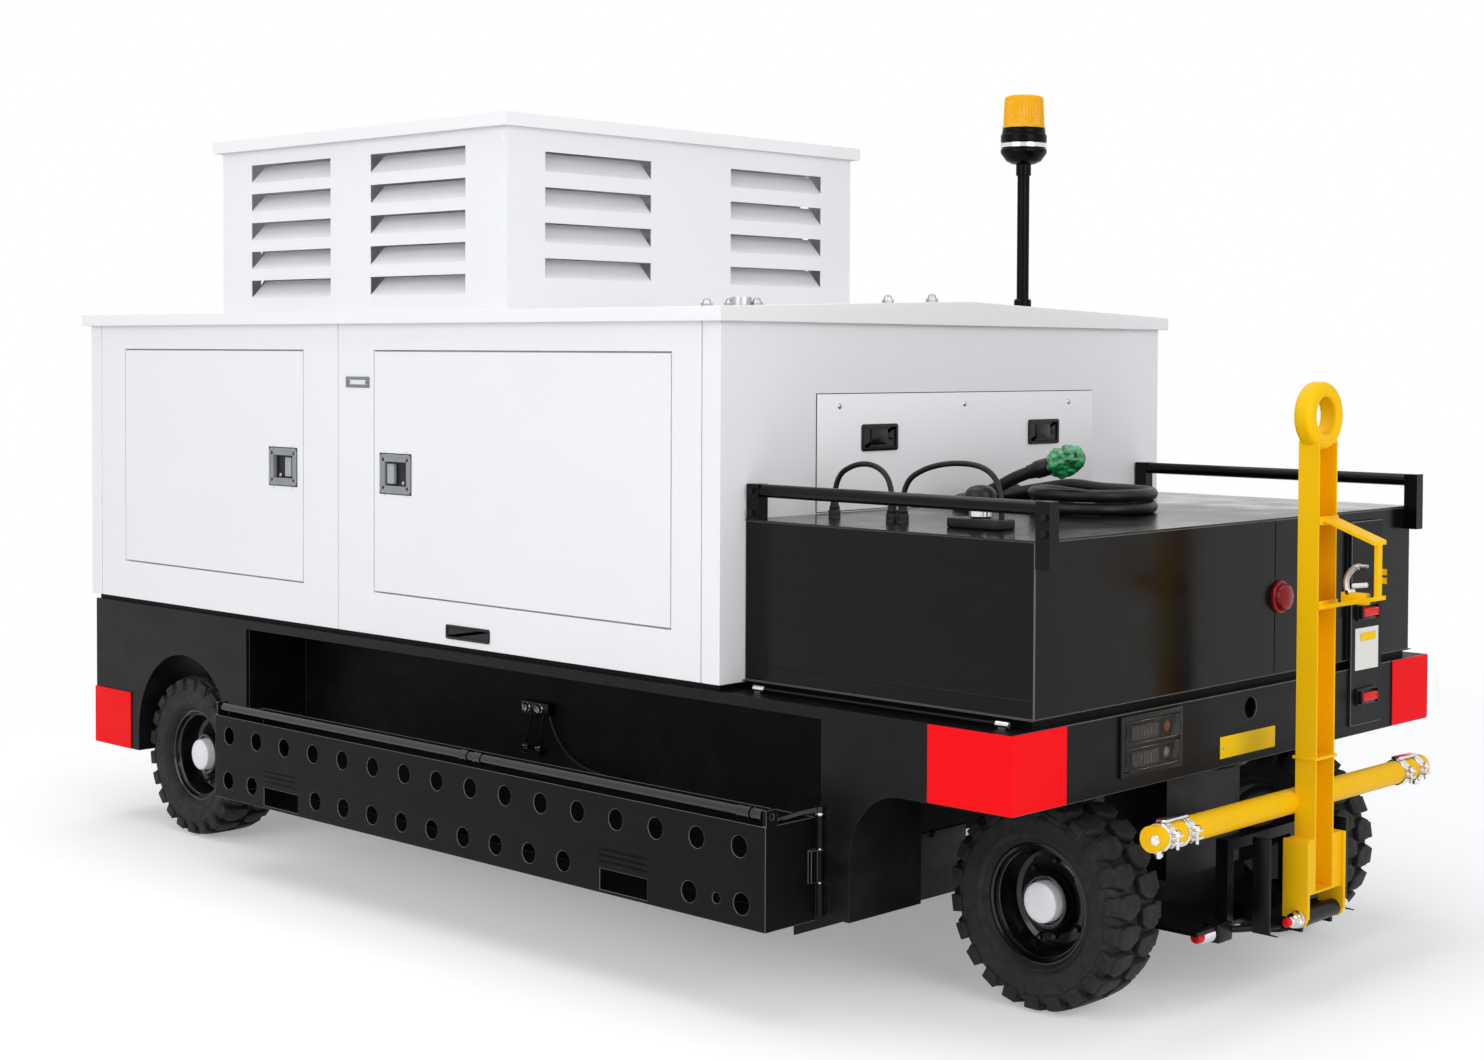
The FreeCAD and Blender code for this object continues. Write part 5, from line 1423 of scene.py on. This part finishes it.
def propRods():
    # a prop rod lies on the deck on each side of the box, its bright ends on small feet
    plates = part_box("end_plates")[1]
    level = plates.z + boxFit["rodRadius"] + 0.006
    start, stop = boxFit["rodSpan"]
    for hand, side in hands:
        y = side * (plates.y - boxFit["rodFromSide"])
        bar = rod("prop_rod_" + hand, (start, y, level), (stop, y, level), boxFit["rodRadius"], 0.001, 16)
        ends = [rod("rod_end", (first, y, level), (last, y, level), 0.010, 0.002, 18)
                for first, last in ((start - 0.040, start + 0.002), (stop - 0.002, stop + 0.040))]
        for x in boxFit["rodFeet"]:
            ends.append(block("rod_foot", (x - 0.012, y - 0.008, plates.z),
                              (x + 0.012, y + 0.008, level - 0.004), 0.001, 1))
        dress(bar, railBlack, "black_paint")
        dress(merged("prop_rod_ends_" + hand, ends), chrome, "chrome")


boxTrim()
railBolts()
propRods()
print("cable box dressed")

trayFit = {
    "ribLevel": 0.346,
    "ribHeight": 0.008,
    "ribPitch": 0.017,
    "ribSpans": ((-0.960, -0.776), (0.738, 0.944)),
    "pinDrop": 0.037,
    "armReach": 0.115,
    "armRadius": 0.009,
    "collarRise": 0.0035,
    "collarSpans": ((0.086, 0.120), (0.150, 0.186), (-0.120, -0.070), (-0.062, -0.024)),
}


def trayPieces(hand, side):
    low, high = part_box("tray_" + hand)
    trayBody = "tray_" + hand + "_body"
    face = outerY((low, high), side)
    ribs = []
    for start, stop in trayFit["ribSpans"]:
        rib = block("tray_rib", (start, face, trayFit["ribLevel"]),
                    (stop, face - side * 0.001, trayFit["ribLevel"] + trayFit["ribHeight"]), 0.0004, 1)
        ribs.append(repeat(rib, [(0, 0, trayFit["ribPitch"]), (0, 0, 2 * trayFit["ribPitch"])]))
    dress(merged("tray_ribs_" + hand, ribs), trayBlack, "black_paint", trayBody)

    # bright pin with its cap in the hinge at the front end, and the arm that swings the tray
    hinge = next(joint for joint in behaviour["joints"] if joint["name"] == "tray_" + hand + "_hinge")
    x, y = hinge["pos_m"][:2]
    top = high.z - trayFit["pinDrop"]
    pin = turned("tray_pin_" + hand, [
        (0.0060, -0.275), (0.0065, -0.272), (0.0065, -0.002), (0.0125, 0), (0.0125, 0.006),
        (0.009, 0.009), (0.001, 0.010)], (x, y, top), sides=20)
    dress(pin, chrome, "chrome")
    elbow = Vector((x - 0.057, side * (abs(y) + trayFit["armReach"]), top - 0.010))
    arm = pipe("tray_arm_" + hand, [elbow + Vector((-0.030, side * 0.004, -0.020)), elbow,
                                    (x - 0.022, side * (abs(y) + 0.030), top + 0.010), (x, y, top + 0.013)],
               trayFit["armRadius"])
    eye = turned("arm_eye", [(0.008, -0.008), (0.013, -0.006), (0.013, 0.006), (0.008, 0.008)],
                 (x, y, top + 0.017), sides=24)
    dress(merged("tray_link_" + hand, [arm, eye]), rollerBlack, "black_paint", trayBody)


def rollerPieces(hand):
    low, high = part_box("roller_" + hand)
    centre = (low + high) / 2
    size = (high.z - low.z) / 2
    radius = size - trayFit["collarRise"]
    long = high.x - low.x - 0.040
    outlines = [(low.x + 0.020, [(radius - 0.004, 0), (radius, 0.003), (radius, long - 0.003),
                                 (radius - 0.004, long)])]
    for start, stop in trayFit["collarSpans"]:
        wide = stop - start
        outlines.append((start if start > 0 else high.x + start, [
            (radius - 0.002, 0), (size, 0.001), (size, 0.006), (size - 0.0015, 0.008),
            (size - 0.0015, wide - 0.008), (size, wide - 0.006), (size, wide - 0.001),
            (radius - 0.002, wide)]))
    pieces = [turned("roller_ring", outline, (x, centre.y, centre.z), (1, 0, 0), 40)
              for x, outline in outlines]
    for start, stop in ((low.x, low.x + 0.022), (high.x - 0.024, high.x)):
        pieces.append(rod("roller_axle", (start, centre.y, centre.z), (stop, centre.y, centre.z), 0.0078))
    whole = merged("roller_" + hand + "_tube", pieces)
    dress(whole, rollerBlack, "black_paint", "roller_" + hand + "_body")
    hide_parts("roller_" + hand)


for hand, side in hands:
    trayPieces(hand, side)
for hand in ("right", "left"):
    rollerPieces(hand)
print("trays dressed")

towFit = {
    "teethLevels": (1.180, 1.204),
    "gripHalf": 0.034,
    "clampBand": 0.0035,
    "clampWidth": 0.034,
    "clampsAt": (0.558, 0.648),
    "clampBoltOut": 0.013,
    "saddle": 0.108,
    "saddleGap": 0.006,
    "pinRadius": 0.0142,
    "pinHalf": 0.150,
    "pinNutAt": 0.104,
    "pinBack": 0.030,
    "pinLevel": 0.237,
    "springFrom": -0.132,
    "springPitch": 0.0055,
    "collarLevel": 0.672,
    "collarHalf": 0.058,
}


def armClamps():
    # band clamps, saddles and end fittings on the cross arm
    low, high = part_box("cross_arm")
    x = (low.x + high.x) / 2
    z = (low.z + high.z) / 2
    radius = (high.z - low.z) / 2
    outer = radius + towFit["clampBand"]
    wide = towFit["clampWidth"]
    outline = [(radius + 0.0005, 0), (outer, 0.001), (outer + 0.001, 0.004), (outer, 0.008),
               (outer, wide - 0.008), (outer + 0.001, wide - 0.004), (outer, wide - 0.001),
               (radius + 0.0005, wide)]
    bright = []
    for side in (-1, 1):
        for at in towFit["clampsAt"]:
            y = side * at
            band = turned("clamp_band", outline, (x, y, z), (0, side, 0), 48)
            ear = block("clamp_ear", (x + radius - 0.004, y, z + 0.006),
                        (x + radius + 0.024, y + side * 0.028, z + 0.013), 0.0015)
            twin = copied(ear, "clamp_ear_low", (0, 0, -0.019))
            boltX = x + radius + towFit["clampBoltOut"]
            boltY = y + side * 0.014
            bolt = rod("clamp_bolt", (boltX, boltY, z - 0.028), (boltX, boltY, z + 0.020),
                       0.0045, 0.0008, 16)
            head = hexagon("clamp_head", (boltX, boltY, z + 0.013), (0, 0, 1), 0.015, 0.009, 1.2)
            bright += [band, ear, twin, bolt, head]
        saddle = block("clamp_saddle", (x - 0.016, 0, z + radius + 0.002),
                       (x + 0.016, towFit["saddle"], z + radius + 0.011), 0.004)
        gap = towFit["saddleGap"] if side > 0 else -towFit["saddleGap"] - towFit["saddle"]
        saddle.data.transform(Matrix.Translation((0, side * towFit["clampsAt"][0] + gap, 0)))
        y = side * (high.y - 0.030)
        foot = z - radius
        stud = rod("arm_stud", (x + 0.004, y, foot - 0.018), (x + 0.004, y, foot + 0.004), 0.008, 0.001, 18)
        nut = hexagon("arm_nut", (x + 0.004, y, foot - 0.004), (0, 0, -1), 0.021, 0.012, 1.2)
        endNut = hexagon("arm_end_nut", (x + radius * 0.4, side * (high.y - 0.002), z), (0, side, 0.0001),
                         0.026, 0.004)
        bright += [saddle, stud, nut, endNut]
    dress(merged("arm_clamps", bright), chrome, "chrome", "drawbar")


def towPin():
    # the pin through the foot of the bar, with its nuts, spring and red knob
    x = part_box("tow_bar")[1].x - towFit["pinBack"]
    z = towFit["pinLevel"]
    half = towFit["pinHalf"]
    pieces = [rod("tow_pin", (x, -half, z), (x, half, z), towFit["pinRadius"], 0.002, 32)]
    for name, side in (("pin_nut", -1), ("pin_nut_far", 1)):
        pieces.append(hexagon(name, (x, side * towFit["pinNutAt"], z), (0, side, 0), 0.040, 0.020, 1.2))
    coil = [(0.0155, 0), (0.0205, 0.001), (0.0205, 0.0045), (0.0155, 0.0055)]
    for number in range(4):
        y = towFit["springFrom"] + number * towFit["springPitch"]
        pieces.append(turned("spring_ring", coil, (x, y, z), (0, 1, 0), 32))
    bolts = dress(merged("pin_fittings", pieces), chrome, "chrome", "drawbar")
    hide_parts("tow_hardware")
    knob = turned("pin_knob", [(0.010, 0), (0.013, 0.002), (0.013, 0.012), (0.009, 0.016), (0.0005, 0.017)],
                  (x, -half, z), (0, -1, 0), 28)
    dress(knob, redPlastic, "red_plastic", "drawbar")


def towCollar():
    # collar plate round the channel above the cross arm
    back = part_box("tow_bar")[0].x
    collar = block("tow_collar", (back - 0.001, -towFit["collarHalf"], towFit["collarLevel"]),
                   (back + 0.075, towFit["collarHalf"], towFit["collarLevel"] + 0.009))
    dress(collar, yellow, "yellow_paint", "drawbar")


def clawPiece(low, high):
    # a cast claw: a bent shank that rises from the foot and reaches over to the grip's upright
    reach = high.x - low.x
    claw = pipe("latch_claw", [
        (low.x + 0.022, 0, low.z + 0.020), (low.x + 0.012, 0, low.z + 0.046),
        (low.x + 0.016, 0, high.z - 0.048), (low.x + 0.036, 0, high.z - 0.026),
        (low.x + 0.6 * reach, 0, high.z - 0.020), (high.x, 0, high.z - 0.020)], 0.0085)
    edit(claw)
    pick(lambda part: part.calc_center_median().x > low.x + 0.7 * reach)
    bpy.ops.transform.resize(value=(1, 0.6, 0.6), center_override=(high.x, 0, high.z - 0.016))
    leave()
    return claw


def gripLatch():
    # latch hook on the grip: a yellow foot, a grey claw and a white lever
    low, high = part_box("hook_latch")
    middle = (low + high) / 2
    foot = block("latch_foot", (low.x + 0.004, -0.014, low.z - 0.002),
                 (high.x + 0.002, 0.014, low.z + 0.030), 0.003)
    edit(foot)
    pick(lambda part: part.normal.z > 0.95)
    bpy.ops.transform.resize(value=(0.55, 0.7, 1), center_override=(low.x + 0.008, 0, low.z))
    leave()
    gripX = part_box("tow_grip")[1].x
    teeth = [turned("grip_tooth", [(0.012, 0), (0.010, 0.002), (0.002, 0.012), (0.0005, 0.0125)],
                    (gripX - 0.006, towFit["gripHalf"] - 0.001, level), (0, 1, 0), 4, turn=math.pi / 4)
             for level in towFit["teethLevels"]]
    dress(merged("latch_foot", [foot] + teeth), yellow, "yellow_paint", "drawbar")
    claw = dress(clawPiece(low, high), zinc, "zinc", "drawbar")
    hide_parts("hook_latch")
    lever = rod("latch_lever", (middle.x - 0.004, -0.004, middle.z - 0.014),
                (high.x + 0.002, -0.004, middle.z - 0.008), 0.007, 0.002, 18)
    dress(lever, capPlastic, "zinc", "drawbar")
    pin = rod("latch_pin", (low.x + 0.026, -0.018, low.z + 0.030),
              (low.x + 0.026, 0.018, low.z + 0.030), 0.007)
    dress(pin, chrome, "zinc", "drawbar")


armClamps()
towPin()
towCollar()
gripLatch()
print("tow bar dressed")

gearFit = {
    "ribTop": 0.470,
    "ribFoot": 0.205,
    "ribAcross": 0.205,
    "postBack": 0.045,
    "teeAcross": 0.200,
    "teeLevel": 0.505,
    "teeHalf": 0.035,
    "boss": (-0.224, -0.200, 0.187),
    "bossSize": (0.030, 0.036, 0.027),
    "springPitch": 0.010,
    "wallInset": 0.235,
    "valvesAlong": -0.056,
    "valvesUp": 0.645,
    "guardSetback": 0.540,
    "guardInner": 0.040,
    "guardHalf": 0.820,
    "guardFoot": 0.105,
    "guardBolts": (0.2, 0.5, 0.8),
}


def steeringPieces():
    # tapered ribs either side of the drawbar socket, and a grease tee with its nuts
    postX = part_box("front_axle")[1].x - gearFit["postBack"]
    ribs = []
    for side in (-1, 1):
        y = side * gearFit["ribAcross"]
        rib = block("steer_rib", (postX - 0.060, y - 0.006, gearFit["ribFoot"]),
                    (postX - 0.005, y + 0.006, gearFit["ribTop"]))
        edit(rib)
        pick(lambda part: part.normal.z < -0.9)
        bpy.ops.transform.resize(value=(1.5, 1, 1), center_override=(postX - 0.060, 0, 0))
        leave()
        ribs.append(rib)
    dress(merged("steer_ribs", ribs), castBlack, "cast", "steer")

    tee = Vector((postX - 0.140, gearFit["teeAcross"], gearFit["teeLevel"]))
    along = Vector((0, gearFit["teeHalf"], 0))
    bright = [rod("tee_body", tee - along, tee + along, 0.012, 0.002, 20),
              rod("tee_stem", tee - Vector((0, 0, 0.030)), tee + Vector((0, 0, 0.042)), 0.009, 0.002, 20),
              hexagon("tee_nut", tee - along, (0, -1, 0), 0.028, 0.014, 1.1),
              hexagon("tee_nut_far", tee + along, (0, 1, 0), 0.028, 0.014, 1.1),
              hexagon("tee_cap", tee + Vector((0, 0, 0.040)), (0, 0, 1), 0.026, 0.012, 1.1)]
    dress(merged("grease_tee", bright), chrome, "chrome", "steer")


def tieRod():
    # tie-rod boss with its spring and red cap, and the bar to the drawbar socket
    along, across, level = gearFit["boss"]
    boss = Vector((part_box("front_axle")[1].x + along, across, level))
    half = Vector(gearFit["bossSize"])
    bossBlock = block("tie_boss", boss - half, boss + half, 0.007, 3)
    bar = pipe("tie_bar", [boss + Vector(step) for step in ((0.010, 0.030, 0.0), (0.070, 0.060, 0.006),
                                                            (0.150, 0.090, 0.026))], 0.010)
    dress(merged("tie_rod", [bossBlock, bar]), castBlack, "cast", "steer")
    coils = [turned("tie_ring", [(0.012, 0), (0.020, 0.002), (0.023, 0.005), (0.020, 0.008), (0.012, 0.010)],
                    boss - Vector((0, half.y + gearFit["springPitch"] * number, 0)), (0, -1, 0), 32)
             for number in range(5)]
    dress(merged("tie_spring", coils), chrome, "chrome", "steer")
    cap = turned("tie_cap", [(0.0165, 0), (0.0175, 0.002), (0.0175, 0.020), (0.014, 0.026), (0.0005, 0.028)],
                 boss - Vector((0, half.y + 5 * gearFit["springPitch"], 0)), (0, -1, 0), 32)
    dress(cap, redPlastic, "red_plastic", "steer")


def splashGuardAndShade():
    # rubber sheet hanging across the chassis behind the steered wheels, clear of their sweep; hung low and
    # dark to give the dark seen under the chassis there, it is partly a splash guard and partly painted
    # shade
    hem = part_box("belly_box")[0].z
    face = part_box("front_axle")[0].x - gearFit["guardSetback"]
    pieces = []
    for side in (-1, 1):
        pieces.append(block("guard_sheet", (face, side * gearFit["guardInner"], gearFit["guardFoot"]),
                            (face + 0.005, side * gearFit["guardHalf"], hem + 0.020), 0.0015))
        for across in gearFit["guardBolts"]:
            place = (face + 0.005, side * across, hem + 0.010)
            pieces.append(hexagon("guard_bolt", place, (1, 0, 0), 0.016, 0.007))
    dress(merged("splash_guard_and_painted_shade", pieces), cableRubber, "black_plastic")


def recessPieces():
    # valve block on the belly's side wall with two pipes down to fittings and one along the wall
    wall = gearFit["wallInset"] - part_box("belly_box")[1].y
    centre = Vector((gearFit["valvesAlong"], wall, gearFit["valvesUp"]))

    def route(start, *steps):
        return [centre + Vector((start + along, across, level)) for along, across, level in steps]

    unions = []
    pipes = []
    body = block("valve_body", *route(0, (-0.075, -0.030, -0.018), (0.060, 0, 0.022)), 0.004)
    for across in (-0.040, 0.022):
        knobAt, unionAt = route(across, (0, -0.030, 0.004), (-0.030, -0.012, -0.124))
        unions.append(hexagon("valve_knob", knobAt, (0, -1, 0), 0.024, 0.016, 1.2))
        pipes.append(pipe("valve_pipe", route(across, (0, -0.014, -0.012), (0, -0.016, -0.060),
                                              (-0.022, -0.014, -0.090), (-0.030, -0.012, -0.128)), 0.0045))
        unions.append(hexagon("valve_union", unionAt, (0, 0, -1), 0.018, 0.016, 1.2))
    pipes.append(pipe("valve_pipe_long", route(0, (0.050, -0.014, -0.010), (0.075, -0.018, -0.070),
                                               (0.160, -0.018, -0.140), (0.260, -0.014, -0.170),
                                               (0.400, -0.010, -0.178)), 0.0055))
    feet = [block("valve_foot", *route(0, (-0.092, -0.026, -0.150), (0.012, 0, -0.136)), 0.002, 1),
            block("pipe_clip", *route(0, (0.385, -0.018, -0.188), (0.402, 0, -0.168)), 0.002, 1)]
    dress(merged("recess_pipes", pipes + [body] + feet), castBlack, "black_plastic")
    dress(merged("recess_unions", unions), chrome, "chrome")


steeringPieces()
tieRod()
recessPieces()
splashGuardAndShade()
print("steering gear dressed")

print("pieces done")
